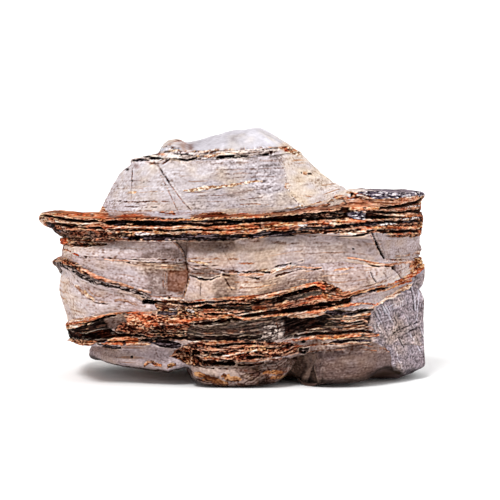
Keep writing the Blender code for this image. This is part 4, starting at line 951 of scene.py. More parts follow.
# Noise, each as a sum of waves: share, size in millimetres, how much closer the waves are
# across the bedding than along it, and seed
NOISE = {
    "bed waves": ((0.8, 30.0, 1.0, 3),),
    "swell": ((1.4, 26.0, 1.0, 7), (0.7, 9.0, 1.0, 8)),
    "bumps": ((0.5, 9.0, 1.0, 61), (0.25, 3.0, 1.0, 62)),
    "shelf bumps": ((0.6, 8.0, 1.0, 63), (0.3, 2.6, 1.0, 64)),
    "drift": ((3.0, 30.0, 1.0, 91),),
    "bend": ((0.7, 6.0, 1.0, 11), (0.35, 1.8, 1.0, 12)),
    "sideways bend": ((1.2, 3.0, 1.0, 13),),
    "warp x": ((1.3, 2.6, 1.0, 14),),
    "warp y": ((1.3, 2.6, 1.0, 15),),
    "warp z": ((0.5, 2.6, 1.0, 16),),
    "swirl x": ((1.8, 5.0, 1.0, 17),),
    "swirl y": ((1.8, 5.0, 1.0, 18),),
    "swirl z": ((1.8, 5.0, 1.0, 19),),
    "grain": ((1.0, 0.8, 1.2, 41),),
    "plate sheets": ((1.0, 15.0, 20.0, 23),),
    "plate laminae": ((1.0, 6.0, 14.0, 24),),
    "crumb laminae": ((1.0, 10.0, 14.0, 27),),
    "clouds": ((1.0, 22.0, 2.0, 51), (0.6, 9.0, 2.0, 52)),
    "hair lines": ((1.0, 15.0, 26.0, 53),),
    "laminae": ((1.0, 9.0, 12.0, 54),),
    "lumps": ((1.0, 5.0, 1.8, 55),),
    "pits": ((1.0, 1.9, 1.8, 56),),
    "hackly places": ((1.0, 16.0, 1.5, 58),),
    "stain lines": ((1.0, 17.0, 24.0, 59),),
    "stain places": ((1.0, 18.0, 2.0, 60), (0.5, 5.0, 2.0, 57)),
    "marble veins": ((1.0, 5.0, 1.6, 85),),
    "marble clouds": ((1.0, 6.0, 2.0, 86),),
    "marble lines": ((1.0, 5.0, 5.0, 87),),
    "uneven push": ((0.45, 5.0, 1.0, 71),),
    "gaps of broken stripes": ((1.0, 2.6, 1.0, 72),),
    "gaps of stripes": ((1.0, 3.0, 1.0, 73),),
    "gaps of rims": ((1.0, 2.6, 1.0, 74),),
    "red or gold": ((1.0, 6.0, 2.4, 76), (0.7, 1.9, 2.0, 77)),
    "grey places": ((1.0, 5.0, 3.0, 78), (0.5, 1.4, 1.5, 79)),
    "warm places": ((1.0, 16.0, 1.4, 80), (0.6, 5.0, 1.4, 81)),
    "fracture bend": ((1.2, 12.0, 1.0, 95),),
    "fracture grain": ((1.0, 0.7, 1.0, 99), (0.5, 1.5, 1.0, 100)),
    "fracture places": ((1.0, 7.0, 1.0, 101),),
}

# Noise without level or upright edges
ROUND_NOISE = ("grain", "lumps", "pits", "fracture grain", "fracture places")

# Numbers that mix the place of a lattice point with a seed
MIX_PLACE = (374761393, 668265263, 1442695041)
MIX_SEED = 974711
MIX_AGAIN = 1274126177
MIX_LIMIT = 0xFFFFFFFF
MIX_STEPS = 0xFFFF

# Turns of the two lattices of round noise, as cosine and sine, the second one's step of the
# seed, and what each of them adds
LATTICE_TURNS = ((0.8, 0.6), (0.9, -0.44))
LATTICE_SEED = 1000
LATTICE_SHARE = 0.7

# Waves of the ragged edges, as size in millimetres and share, and the seeds of the edges, to
# which each shape adds its number
EDGE_WAVES = ((5.0, 0.45), (1.8, 0.45), (0.8, 0.5))
PATCH_SEED = 60
STRIPE_TOP_SEED = 200
STRIPE_BOTTOM_SEED = 500
BEAD_SEED = 810
SPOT_SEED = 900
CRACK_SEED = 940

# Levels of the noise that one shape takes above the shape before it
EDGE_LEVEL = 3.7
STRIPE_LEVEL = 5.1

# Flakes that the plates and the crumbs are made of: width and thickness in millimetres, and
# seed; and the dark gaps at their borders, as shares of the size of a flake
PLATE_FLAKE = (6.0, 0.9, 21)
CRUMB_FLAKE = (2.8, 1.1, 26)
SMALL_FLAKE = (1.2, 0.7, 31)
FLAKE_GAP = (0.14, 0.02)

# What the parts of each grain add to its tone, which runs from 0 for dark to 1 for light, and
# to its relief in millimetres. In crumbs the parts above and small above make each crumb lighter
# at its top and darker at its bottom: painted light and shade from above.
TONE = {
    "plates": {"sheets": 0.36, "laminae": 0.34, "flakes": 0.55, "grain": 0.28, "gaps": -0.25},
    "crumbs": {"flakes": 0.75, "small flakes": 0.80, "grain": 0.34, "laminae": 0.24, "above": 0.30,
               "small above": 0.20, "gaps": -0.20, "small gaps": -0.12},
    "massive": {"clouds": 0.12, "hair lines": 0.06, "hackly hair lines": 0.08, "laminae": 0.06,
                "hackly laminae": 0.05, "lumps": 0.10, "pits": 0.05, "hackly pits": 0.16,
                "grain": 0.22, "hackly grain": 0.14},
    "marble": {"clouds": 0.45, "lines": 0.35, "veins": -0.40, "grain": 0.24},
}
RELIEF = {
    "plates": {"sheets": 0.40, "laminae": 0.30, "flakes": 0.80, "above": -0.35, "gaps": -0.30},
    "crumbs": {"flakes": 1.20, "small flakes": 0.70, "above": -0.60, "laminae": 0.35,
               "grain": 0.25, "gaps": -0.16, "small gaps": -0.096},
    "massive": {"hair lines": 0.06, "laminae": 0.05, "lumps": 0.60, "pits": 0.10,
                "hackly pits": 0.30, "grain": 0.06, "hackly grain": 0.10, "stain": -0.15},
    "marble": {"clouds": 0.80, "lines": 0.50, "veins": -0.60},
}

# Tone where the parts add nothing, and the border of the veins of marble
MIDDLE_TONE = 0.5
MARBLE_TONE = 0.56
MARBLE_VEIN = (0.16, 0.02)

# Tones between which a kind has its middle colour, and how far from them it is all dark or
# all light
PLAIN_TONES = (0.47, 0.53)
TONE_REACH = 0.34

# Where massive rock is hackly, and how hackly the beds are against the dome
HACKLY_PLACES = (-0.1, 0.6)
HACKLY_BEDS = 0.4

# Rusty stains of the pale beds: where they are, how crumbly and how bright rock has to be to
# take them, how much they cover, and what they leave of the colour
STAIN_LINE = (0.50, 0.80)
STAIN_PLACE = (-0.2, 0.5)
STAIN_CRUMBLE = (0.25, 0.1)
STAIN_LEAST = 0.01
STAIN_BRIGHTNESS = (100, 170)
STAIN_COVER = 0.75
STAIN_TINT = (0.84, 0.70, 0.58)

# Rows of the front view between which the beds turn into the rock of the feet
FOOT_ROWS = (350, 358)

# Room in pixels that is looked through around a shape of the drawing
EDGE_ROOM = 3.0
TIP_ROOM = 1.0
SPOT_ROOM = 2.0

# Half width in pixels of the soft border of stripes and cracks
LINE_BORDER = 0.35

# Stripes: the taper of their tips, and the gaps in broken and in whole ones, which change
# faster down a stripe than along it
TIP_TAPER = 0.6
BROKEN_GAP = (-0.45, 0.1)
STRIPE_GAP = (-0.78, -0.52)
GAP_SLANT = 2.5

# Cracks: how far they wander, the size of their beads in millimetres and what these add to
# the width, and the gaps in broken ones, with the share of the crack that is left there
CRACK_WANDER = 0.3
BEAD_SIZE = 1.1
BEAD_SHARE = 0.5
CRACK_GAP = (-0.5, 0.1)
CRACK_LEAST = 0.35

# Border of the spots as shares of their size, and how ragged it is
SPOT_BORDER = (1.3, 0.7)
SPOT_RAGGED = 0.5

# Painted highlight: a pale rim just outside the stripes that lie deeper than a push in
# millimetres, along the edges of their gaps: its colour and cover, where it starts and ends in
# pixels from their edge, and its gaps
RIM = (250, 224, 204)
RIM_COVER = 0.45
RIM_PUSH = -0.7
RIM_OUTSIDE = (-1.6, -0.8)
RIM_INSIDE = (-0.1, -0.6)
RIM_GAP = (-0.4, 0.4)

# Crumble from which rock is crumbly, and the share of its least to its most colour from
# which it is rusty. What red and golden places add to the colour of such rock, as shares
CRUMBLY = (0.25, 0.6)
RUSTY = (0.85, 0.6)
HUE_REACH = (0.0, 0.8)
RED_TINT = (0.03, -0.20, -0.32)
GOLD_TINT = (0.02, 0.06, -0.06)

# What warm places add to the colour of massive rock, as shares, and the coolest of them
WARM_TINT = (0.03, -0.005, -0.085)
COOLEST_DOME = -0.2
COOLEST_BEDS = -0.4

# Bare grey places of crumbly rock: where they are, their colour as shares of its brightness,
# and how much of it they cover
BARE_PLACES = (0.1, 0.6)
BARE_TINT = (1.08, 0.98, 0.96)
BARE_COVER = 0.45

# Face of the grey block: the lean of its bright edges in degrees from level, its border in
# pixels, its plates, edges and gaps as width and length in pixels and seed, and how far the
# dark side of an edge lies beside it
FRACTURE_ANGLE = 68
FRACTURE_BORDER = (-0.6, 0.8)
FRACTURE_PLATES = (5.0, 14.0, 98)
FRACTURE_EDGES = (1.0, 12.0, 96)
FRACTURE_GAPS = (1.0, 6.0, 97)
EDGE_SIDE = 0.8

# Where the face has edges and gaps, and the rows below which it has fewer of them
FRACTURE_PLACES = (-0.3, 0.4)
CALM_ROWS = (335, 350)
CALM_SHARE = 0.6

# Streaks that show as bright edges, dark sides and dark gaps, and how much these cover
BRIGHT_EDGE = (0.50, 0.75)
DARK_SIDE = (0.50, 0.78)
DARK_GAP = (0.52, 0.78)
FRACTURE_LIGHT = (240, 232, 238)
BRIGHT_COVER = 0.55
DARK_COVER = 0.38

# What the parts of the face add to its brightness, as shares, and to its relief
FRACTURE_SHADE = {"plates": 0.07, "grain": 0.26}
FRACTURE_RELIEF = {"plates": 0.9, "bright": 0.5, "dark": -0.7}

# Points that count as the front: how much they face back and how far back they lie at most
FRONT_FACING = 0.1
FRONT_DEPTH = 10.0

# Depths between which the drawing starts to drift up and down behind
DRIFT_DEPTH = (0.0, 20.0)

# Depths between which the forms of the front and of the back fade in, and the power of the
# distance by which a form falls off
FRONT_FORM_DEPTH = (5, -15)
BACK_FORM_DEPTH = (0, 15)
FORM_POWER = 3

# Push of the ends that makes up for their wear, in millimetres, the power by which it fades
# beside them, and the times that the ends are pushed into place
END_EXTRA = 0.4
END_POWER = 3
END_ROUNDS = 2

# Relief that the ends lose, and the power by which this fades beside them
END_LOSS = 0.5
END_LOSS_POWER = 4

# Extra contrast of points lighter and darker than their neighbours, and its reach in rings
# and columns
CRISP_LIGHT = 0.5
CRISP_DARK = 0.9
CRISP_REACH = (3, 2)

# Painted shade in hollows, and pale edges that are partly wear and partly painted highlight: the
# reach in rings and columns of the level that they are measured from, their full depth and height
# in millimetres, and how much they cover
HOLLOW_REACH = (4, 4)
HOLLOW_DEPTH = 1.2
HOLLOW_SHADE = 0.35
WEAR_AND_HIGHLIGHT_HEIGHT = 1.0
WEAR_AND_HIGHLIGHT_COLOUR = (252, 226, 202)
WEAR_AND_HIGHLIGHT_COVER = 0.40

# Flat surfaces: the share of their bumps that counts as bedding, the share of the relief that
# they keep, and the shares of the way out between which bumps and relief fade in
FLAT_BEDDING = 0.4
FLAT_RELIEF = 0.5
FLAT_BUMP_FADE = (1.0, 0.9)
FLAT_RELIEF_FADE = (1.0, 0.95)

# The shelf: the share of the relief that it keeps, and the widths in millimetres between
# which its bumps fade in
SHELF_RELIEF = 0.4
SHELF_FADE = (1.0, 6.0)

# Distance of the innermost ring of a flat surface from the axis, in steps between its rings
INNERMOST = 0.6

# Millimetres in a metre
MILLIMETRES = 1000.0

# The box that the stone stays inside of, and the distance from its sides, in millimetres,
# from which points are bent inwards
BOX_LOW, BOX_HIGH = np.round(np.array(cad_box) * MILLIMETRES, 3)
LIMIT_SLACK = 1.0

# Material of the rock. Scales are in waves per metre. The dark and the light tint of the
# mottles and of the crumbs each follow the value that they stand at.
SPECULAR = 0.01
LAMINA_SCALE = (500, 500, 1100)
LAMINA_DETAIL = 5.0
LAMINA_ROUGHNESS = 0.6
GRAIN_SCALE = 1800.0
GRAIN_DETAIL = 3.0
MOTTLE_DARK = (0.3, (0.62, 0.60, 0.58))
MOTTLE_LIGHT = (0.68, (1.2, 1.2, 1.2))
MOTTLE_STRENGTH = (0.40, 0.95)
ROUGHNESS = (0.72, 0.98)
BUMP_STRENGTH = 0.5
BUMP_DISTANCE = 0.0006
CRUMB_SCALES = (380.0, 1000.0)
CRUMB_MIX = 0.45
CRUMB_UPWARD = (0.80, 0.95)
CRUMB_DARK = (0.2, (0.30, 0.22, 0.18))
CRUMB_LIGHT = (0.8, (1.5, 1.4, 1.3))

# Sockets of a mix node for values and for colours
VALUE_SOCKETS = (2, 3)
COLOUR_SOCKETS = (6, 7)

# Floor, in metres, and its backdrop
FLOOR_HALF_WIDTH = 4.0
FLOOR_FRONT = -4.0
FLOOR_BACK = 1.6
BACKDROP_CURVE = 0.8
BACKDROP_STEPS = 12
BACKDROP_HEIGHT = 4.0
FLOOR_COLOUR = (0.94, 0.94, 0.94, 1.0)
FLOOR_ROUGHNESS = 0.9

# Light from all around, and lamps: energy, and softness, tilt and turn in degrees
SKY_COLOUR = (1.0, 1.0, 1.0, 1.0)
SKY_STRENGTH = 0.72
LAMPS = {
    "key": (2.1, 18, 40, -22),
    "fill": (0.7, 40, 50, 55),
}


def smooth_step(low, high, value):
    """Rise from 0 at low to 1 at high."""
    t = np.clip((value - low) / (high - low), 0.0, 1.0)
    return t * t * (3.0 - 2.0 * t)


def along_line(points, place):
    """Height of a line of (place, height) points."""
    stations, heights = zip(*points)
    return np.interp(place, stations, heights)


def lattice_value(ix, iy, iz, seed):
    """One fixed number from 0 to 1 for each whole lattice point."""
    mixed = ix * MIX_PLACE[0] + iy * MIX_PLACE[1] + iz * MIX_PLACE[2] + seed * MIX_SEED
    mixed = mixed & MIX_LIMIT
    mixed = ((mixed ^ (mixed >> 13)) * MIX_AGAIN) & MIX_LIMIT
    return ((mixed ^ (mixed >> 16)) & MIX_STEPS) / MIX_STEPS


def soft_noise(x, y, z, size, seed):
    """Smooth noise from -1 to 1 with waves of about the given size."""
    scaled = [np.asarray(axis, float) / size for axis in (x, y, z)]
    cell = [np.floor(axis).astype(np.int64) for axis in scaled]
    part = [smooth_step(0.0, 1.0, axis - low) for axis, low in zip(scaled, cell)]
    total = 0.0
    for dx, dy, dz in product((0, 1), repeat=3):
        share = part[0] if dx else 1.0 - part[0]
        share = share * (part[1] if dy else 1.0 - part[1])
        share = share * (part[2] if dz else 1.0 - part[2])
        total = total + share * lattice_value(cell[0] + dx, cell[1] + dy, cell[2] + dz, seed)
    return 2.0 * total - 1.0


def round_noise(x, y, z, size, seed):
    """Smooth noise without level or upright edges, from two turned lattices."""
    total = 0.0
    for number, (cosine, sine) in enumerate(LATTICE_TURNS):
        turned = cosine * x + sine * z, y, cosine * z - sine * x
        total = total + soft_noise(*turned, size, seed + LATTICE_SEED * number)
    return LATTICE_SHARE * total


def noise(name, x, y, z):
    """Named noise as the sum of its waves."""
    wave = round_noise if name in ROUND_NOISE else soft_noise
    return sum(share * wave(x, y, z * layers, size, seed) for share, size, layers, seed in NOISE[name])


def streaks(across, along, width, length, seed):
    """Smooth noise from -1 to 1, in streaks of the given width and length."""
    return soft_noise(across / width, along / length, np.zeros(np.shape(across)), 1.0, seed)


def flakes(x, y, z, size, thickness, seed):
    """The number, 0 to 1, of the flake that each point lies in, the distance to the border of
    the flake, and the height of the point in it, 0 in the middle."""
    scaled = [np.asarray(x) / size, np.asarray(y) / size, np.asarray(z) / thickness]
    cell = [np.floor(axis).astype(np.int64) for axis in scaled]
    nearest = np.full(np.shape(x), np.inf)
    second = np.full(np.shape(x), np.inf)
    value = np.zeros(np.shape(x))
    above = np.zeros(np.shape(x))
    for step in product((-1, 0, 1), repeat=3):
        corner = [low + move for low, move in zip(cell, step)]
        gaps = [corner[axis] + lattice_value(*corner, seed + axis) - scaled[axis] for axis in range(3)]
        distance = gaps[0]**2 + gaps[1]**2 + gaps[2]**2
        closer = distance < nearest
        second = np.where(closer, nearest, np.minimum(second, distance))
        nearest = np.where(closer, distance, nearest)
        value = np.where(closer, lattice_value(*corner, seed + 3), value)
        above = np.where(closer, -gaps[2], above)
    return value, np.sqrt(second) - np.sqrt(nearest), above


def mixture(shares, fields):
    """Sum of some fields, each times its share."""
    return sum(share * fields[name] for name, share in shares.items())


def blended(below, above, share):
    """Colours covered by other ones."""
    return below + (np.array(above, float) - below) * share[..., None]


def front_place(x, y, z):
    """Where a place in millimetres is in the front view, in pixels from the top left."""
    cosine, sine = math.cos(math.radians(TILT)), math.sin(math.radians(TILT))
    away = DISTANCE + y * cosine - (z - TARGET[2]) * sine
    scale = DISTANCE / PIXEL / away
    up = (z - TARGET[2]) * cosine + y * sine
    return VIEW_SIZE / 2 + (x - TARGET[0]) * scale, VIEW_SIZE / 2 - up * scale


def outline(angle, reach):
    """Radius and outward normal of an eight-faced outline at each angle."""
    push = 0.0
    normal_x = 0.0
    normal_y = 0.0
    for face, azimuth in enumerate(np.radians(FACE_AZIMUTHS)):
        distance = reach[..., face]
        facing = np.maximum(np.cos(angle - azimuth), 0.0) / distance
        push = push + facing**CORNER_SHARPNESS
        normal_x = normal_x + facing ** (CORNER_SHARPNESS - 1) * np.cos(azimuth) / distance
        normal_y = normal_y + facing ** (CORNER_SHARPNESS - 1) * np.sin(azimuth) / distance
    length = np.hypot(normal_x, normal_y)
    return push ** (-1.0 / CORNER_SHARPNESS), normal_x / length, normal_y / length


def column_angles():
    """Angles that share out the outline of the band, closer together on the front."""
    fine = np.linspace(-np.pi, np.pi, OUTLINE_STEPS)
    radius = outline(fine, np.array(REACH["band"], float))[0]
    x = radius * np.cos(fine)
    y = radius * np.sin(fine)
    density = 1.0 + (FRONT_DENSITY - 1.0) * smooth_step(*DENSE_DEPTH, (y[1:] + y[:-1]) / 2)
    along = np.concatenate(([0.0], np.cumsum(np.hypot(np.diff(x), np.diff(y)) * density)))
    places = np.linspace(0.0, along[-1], COLUMNS, endpoint=False)
    return np.interp(places, along, fine)


def sole_height(x, y):
    """Height of the underside: flat where the stone rests, higher below its front edge."""
    at_left = along_line(LEFT_SOLE_FADE, y)
    at_middle = smooth_step(*SOLE_FADE, y)
    front = along_line(SOLE_FRONT, x) * np.where(x < LEFT_SOLE_END, at_left, at_middle)
    right = SOLE_RIGHT_RISE * smooth_step(*SOLE_RIGHT_WAY, x) * smooth_step(*BEHIND_FRONT, y)
    return front + right + SOLE_BACK_RISE * smooth_step(*SOLE_BACK_WAY, y)


def surface_heights(x, y):
    """Heights of all bedding surfaces at each place, every one above the one before it."""
    heights = [sole_height(x, y)]
    wave = noise("bed waves", x, y, np.zeros_like(x)) * smooth_step(*BEHIND_FRONT, y)
    to_back = smooth_step(*FRONT_TO_BACK, y)
    for name, (front, (back_left, back_right)) in BEDDING.items():
        at_front = along_line(front, x)
        slope = (back_right - back_left) / (2.0 * BACK_HALF_WIDTH)
        at_back = back_left + slope * (x + BACK_HALF_WIDTH)
        height = at_front + (at_back - at_front) * to_back + wave
        if name == "shoulder top":
            height = height - along_line(TOP_TILT, x) * np.maximum(y - TOP_FRONT, 0.0)
        heights.append(np.maximum(height, heights[-1] + THINNEST))
    return np.array(heights)


def form_push(x, z, forms):
    """How far some forms push the surface out or in at x and z."""
    total = 0.0
    for (middle_x, middle_z), (half_x, half_z), push in forms.values():
        spread = np.abs((x - middle_x) / half_x) ** FORM_POWER + np.abs((z - middle_z) / half_z) ** FORM_POWER
        total = total + push * np.exp(-spread)
    return total


# The rings of a piece: the reach of each, the surfaces below and above it, how far along the
# way between them it lies, and its push
Rings = namedtuple("Rings", "reach below above way push")


def side_rings(layers, below):
    """Rings of some layers on top of each other, the first of which starts at a surface."""
    rings = []
    share_below = 0.0
    for layer in layers:
        low, high = np.array(REACH[layer.low]), np.array(REACH[layer.high])
        for step in np.linspace(0.0, 1.0, int(layer.rings * RING_SHARE)):
            reach = low * (1.0 - step) + high * step
            if layer.low == "sole":
                reach = reach + (np.array(REACH["foot"]) - reach) * np.sin(np.pi * step**FOOT_SWELL) ** 2
            way = share_below + (layer.share - share_below) * step
            push = layer.stand_out + layer.bulge * 4.0 * step * (1.0 - step)
            rings.append((reach, SURFACES.index(below), SURFACES.index(layer.surface), way, push))
        share_below = layer.share % 1.0
        if share_below == 0.0:
            below = layer.surface
    return Rings(*(np.array(field) for field in zip(*rings)))


def bed_heights(x, y, rings):
    """Heights of the surfaces below and above each ring at each place."""
    heights = surface_heights(x, y)
    index = np.arange(len(rings.way))
    return heights[rings.below, index], heights[rings.above, index]


def ring_heights(x, y, rings):
    """Height of each place of some rings between their bedding surfaces."""
    low, high = bed_heights(x, y, rings)
    return low + (high - low) * rings.way[:, None]


def end_push(x, y, z, normal_x, left_end, right_end):
    """Push that brings both ends of each ring to where the front view has them."""
    width, height = front_place(x, y, z)
    index = np.arange(len(x))
    left = width.argmin(axis=1)
    right = width.argmax(axis=1)
    left_gap = (width[index, left] - along_line(left_end, height[index, left])) * PIXEL + END_EXTRA
    right_gap = (along_line(right_end, height[index, right]) - width[index, right]) * PIXEL + END_EXTRA
    push = left_gap[:, None] * np.maximum(-normal_x, 0.0) ** END_POWER
    return push + right_gap[:, None] * np.maximum(normal_x, 0.0) ** END_POWER


def drawn_place(width, height):
    """Place in the front view that each point of some rings takes its rock from. The points
    of the back take it from the point of the front with the same width."""
    for ring in range(len(width)):
        left = int(width[ring].argmin())
        right = int(width[ring].argmax())
        front = np.arange(left, right + 1) if left < right else np.r_[left:width.shape[1], 0:right + 1]
        behind = np.ones(width.shape[1], bool)
        behind[front] = False
        order = np.argsort(width[ring, front])
        stations = width[ring, front][order]
        height[ring, behind] = np.interp(width[ring, behind], stations, height[ring, front][order])
    return width, height


def frame_around(xs, ys, room):
    """Left, right, top and bottom of a frame with some room around some places."""
    return xs.min() - room, xs.max() + room, ys.min() - room, ys.max() + room


def segment_distance(px, py, ax, ay, bx, by):
    """Distance of each point to the straight line from one place to another."""
    length = (bx - ax) ** 2 + (by - ay) ** 2
    along = np.clip(((px - ax) * (bx - ax) + (py - ay) * (by - ay)) / length, 0.0, 1.0)
    return np.hypot(px - ax - along * (bx - ax), py - ay - along * (by - ay))


def line_distance(px, py, xs, ys):
    """Distance of each point to a line through some places."""
    sections = zip(xs[:-1], ys[:-1], xs[1:], ys[1:])
    return np.min([segment_distance(px, py, *section) for section in sections], axis=0)


def polygon_depth(px, py, xs, ys):
    """How far each point lies inside a polygon, less than 0 outside of it."""
    inside = np.zeros(len(px), bool)
    for ax, ay, bx, by in zip(xs, ys, np.roll(xs, -1), np.roll(ys, -1)):
        if by != ay:
            crosses = (ay > py) != (by > py)
            inside ^= crosses & (px < (bx - ax) * (py - ay) / (by - ay) + ax)
    nearest = line_distance(px, py, np.append(xs, xs[0]), np.append(ys, ys[0]))
    return np.where(inside, nearest, -nearest)


class Rock:
    """What the drawing puts on each point: push out, relief, colour and crumble."""

    def __init__(self, x, y, z, bedding, width, height, front):
        """Points of the stone, their heights over the middle of their bed and their places in
        the front view, and the grains of rock at each of them."""
        self.x, self.y, self.z, self.bedding = x, y, z, bedding
        self.front = front
        self.plain_width, self.plain_height = width, height
        self.width = width + self.noise("sideways bend")
        self.height = height + self.noise("bend")
        self.warped = [part + self.noise("warp " + axis) for axis, part in zip("xyz", (x, y, bedding))]
        self.push = np.zeros(len(x))
        self.relief = np.zeros(len(x))
        self.crumble = np.zeros(len(x))
        self.colour = np.zeros((len(x), 3))
        self.grain = self.noise("grain")
        self.tones = {}
        self.reliefs = {}
        self.make_plates()
        self.make_crumbs()
        self.make_massive()
        self.make_marble()

    def noise(self, name):
        """Named noise that follows the bedding."""
        return noise(name, self.x, self.y, self.bedding)

    def keep(self, grain, middle, fields):
        """Tone and relief of a grain, mixed from its parts."""
        self.tones[grain] = np.clip(middle + mixture(TONE[grain], fields), 0.0, 1.0)
        self.reliefs[grain] = mixture(RELIEF[grain], fields)

    def make_plates(self):
        """Rock in long thin plates."""
        value, border, above = flakes(*self.warped, *PLATE_FLAKE)
        self.keep("plates", MIDDLE_TONE, {
            "sheets": self.noise("plate sheets"),
            "laminae": self.noise("plate laminae"),
            "flakes": value - 0.5,
            "above": above,
            "gaps": smooth_step(*FLAKE_GAP, border),
            "grain": self.grain,
        })

    def make_crumbs(self):
        """Rock that breaks into large and small crumbs."""
        value, border, above = flakes(*self.warped, *CRUMB_FLAKE)
        small_value, small_border, small_above = flakes(*self.warped, *SMALL_FLAKE)
        # The above parts of the tone paint each crumb lighter at its top and darker at its bottom: painted
        # light and shade from above
        self.keep("crumbs", MIDDLE_TONE, {
            "flakes": value - 0.5,
            "small flakes": small_value - 0.5,
            "above": above,
            "small above": small_above,
            "gaps": smooth_step(*FLAKE_GAP, border),
            "small gaps": smooth_step(*FLAKE_GAP, small_border),
            "laminae": self.noise("crumb laminae"),
            "grain": self.grain,
        })

    def make_massive(self):
        """Massive rock, with soft lumps, hair lines, hackly places and stains."""
        hackly = smooth_step(*HACKLY_PLACES, self.noise("hackly places"))
        hackly = hackly * np.where(self.height < DOME_FOOT, 1.0, HACKLY_BEDS)
        line = smooth_step(*STAIN_LINE, self.noise("stain lines"))
        self.stain = line * smooth_step(*STAIN_PLACE, self.noise("stain places"))
        fields = {name: self.noise(name) for name in ("clouds", "hair lines", "laminae", "lumps", "pits")}
        fields["grain"] = self.grain
        for name in ("hair lines", "laminae", "pits", "grain"):
            fields["hackly " + name] = hackly * fields[name]
        fields["stain"] = self.stain
        self.keep("massive", MIDDLE_TONE, fields)

    def make_marble(self):
        """Swirled rock with dark veins."""
        swirled = [part + self.noise("swirl " + axis) for axis, part in zip("xyz", self.warped)]
        self.keep("marble", MARBLE_TONE, {
            "clouds": noise("marble clouds", *swirled),
            "lines": noise("marble lines", *swirled),
            "veins": smooth_step(*MARBLE_VEIN, np.abs(noise("marble veins", *swirled))),
            "grain": self.grain,
        })

    def edge(self, chosen, seed, ragged):
        """Uneven shift of a border, in pixels."""
        place = self.x[chosen], self.y[chosen], np.full(len(chosen), seed * EDGE_LEVEL)
        return ragged * sum(share * soft_noise(*place, size, seed) for size, share in EDGE_WAVES)

    def lay(self, chosen, share, kind, push):
        """Cover the chosen points with a kind of rock."""
        rock = KINDS[kind]
        share = share * rock.cover
        tone = self.tones[rock.grain][chosen][:, None]
        dark, middle, light = (np.array(shade, float) for shade in (rock.dark, rock.middle, rock.light))
        low = np.clip((PLAIN_TONES[0] - tone) / TONE_REACH, 0.0, 1.0)
        high = np.clip((tone - PLAIN_TONES[1]) / TONE_REACH, 0.0, 1.0)
        colour = middle + (dark - middle) * low + (light - middle) * high
        relief = rock.crumble * self.reliefs[rock.grain][chosen]
        relief = relief + (1.0 - rock.crumble) * self.reliefs["massive"][chosen]
        keep = 1.0 - share
        self.colour[chosen] = self.colour[chosen] * keep[:, None] + colour * share[:, None]
        self.crumble[chosen] = self.crumble[chosen] * keep + rock.crumble * share
        self.push[chosen] = self.push[chosen] * keep + push * share
        self.relief[chosen] = self.relief[chosen] * keep + relief * share

    def near(self, left, right, top, bottom):
        """Numbers of the points inside a frame of the front view."""
        return np.nonzero((self.width > left) & (self.width < right)
                          & (self.height > top) & (self.height < bottom))[0]

    def in_front(self, left, right, top, bottom):
        """Numbers of the points of the front inside a frame of the front view, not bent."""
        return np.nonzero((self.plain_width > left) & (self.plain_width < right) & self.front
                          & (self.plain_height > top) & (self.plain_height < bottom))[0]

    def draw(self):
        """Everything that the drawing puts on the rock, from the lowest to the highest."""
        self.bases()
        self.patches()
        self.fracture()
        self.stripes()
        self.cracks()
        self.spots()
        self.stains()
        self.vary_hues()

    def bases(self):
        """The dome, the beds below it and the feet."""
        dome = self.height < DOME_FOOT
        for kind, covered in (("dome", dome), ("bed", ~dome)):
            self.lay(np.nonzero(covered)[0], np.ones(covered.sum()), kind, 0.0)
        low = np.nonzero(self.height > FOOT_ROWS[0])[0]
        self.lay(low, smooth_step(*FOOT_ROWS, self.height[low]), "foot", 0.0)

    def patches(self):
        """Tones and fills."""
        for number, (kind, push, soft, corners) in enumerate(PATCHES.values()):
            xs, ys = np.array(corners, float).T
            chosen = self.near(*frame_around(xs, ys, soft + EDGE_ROOM))
            if len(chosen) == 0:
                continue
            inside = polygon_depth(self.width[chosen], self.height[chosen], xs, ys)
            inside = inside + self.edge(chosen, PATCH_SEED + number, KINDS[kind].ragged)
            self.lay(chosen, smooth_step(-soft / 2, soft / 2, inside), kind, push)

    def fracture(self):
        """Face of the grey block: steep bright edges, dark gaps across them and fine grain."""
        xs, ys = np.array(PATCHES["fractured block"][-1], float).T
        chosen = self.near(*frame_around(xs, ys, EDGE_ROOM))
        if len(chosen) == 0:
            return
        width, height = self.width[chosen], self.height[chosen]
        place = self.x[chosen], self.y[chosen], self.z[chosen]
        share = smooth_step(*FRACTURE_BORDER, polygon_depth(width, height, xs, ys))
        steep = math.radians(FRACTURE_ANGLE)
        bend = noise("fracture bend", *place)
        across = width * math.sin(steep) - height * math.cos(steep) + bend
        along = width * math.cos(steep) + height * math.sin(steep) + bend
        places = smooth_step(*FRACTURE_PLACES, noise("fracture places", *place))
        places = places * (1.0 - CALM_SHARE * smooth_step(*CALM_ROWS, height))
        sides = smooth_step(*DARK_SIDE, streaks(across + EDGE_SIDE, along, *FRACTURE_EDGES))
        gaps = smooth_step(*DARK_GAP, streaks(along, across, *FRACTURE_GAPS))
        fields = {
            "plates": streaks(across, along, *FRACTURE_PLATES),
            "bright": places * smooth_step(*BRIGHT_EDGE, streaks(across, along, *FRACTURE_EDGES)),
            "dark": places * np.maximum(sides, gaps),
            "grain": noise("fracture grain", *place),
        }
        colour = self.colour[chosen] * (1.0 + mixture(FRACTURE_SHADE, fields))[:, None]
        colour = colour * (1.0 - DARK_COVER * fields["dark"])[:, None]
        colour = blended(colour, FRACTURE_LIGHT, BRIGHT_COVER * fields["bright"])
        self.colour[chosen] = blended(self.colour[chosen], colour, share)
        self.push[chosen] += mixture(FRACTURE_RELIEF, fields) * share

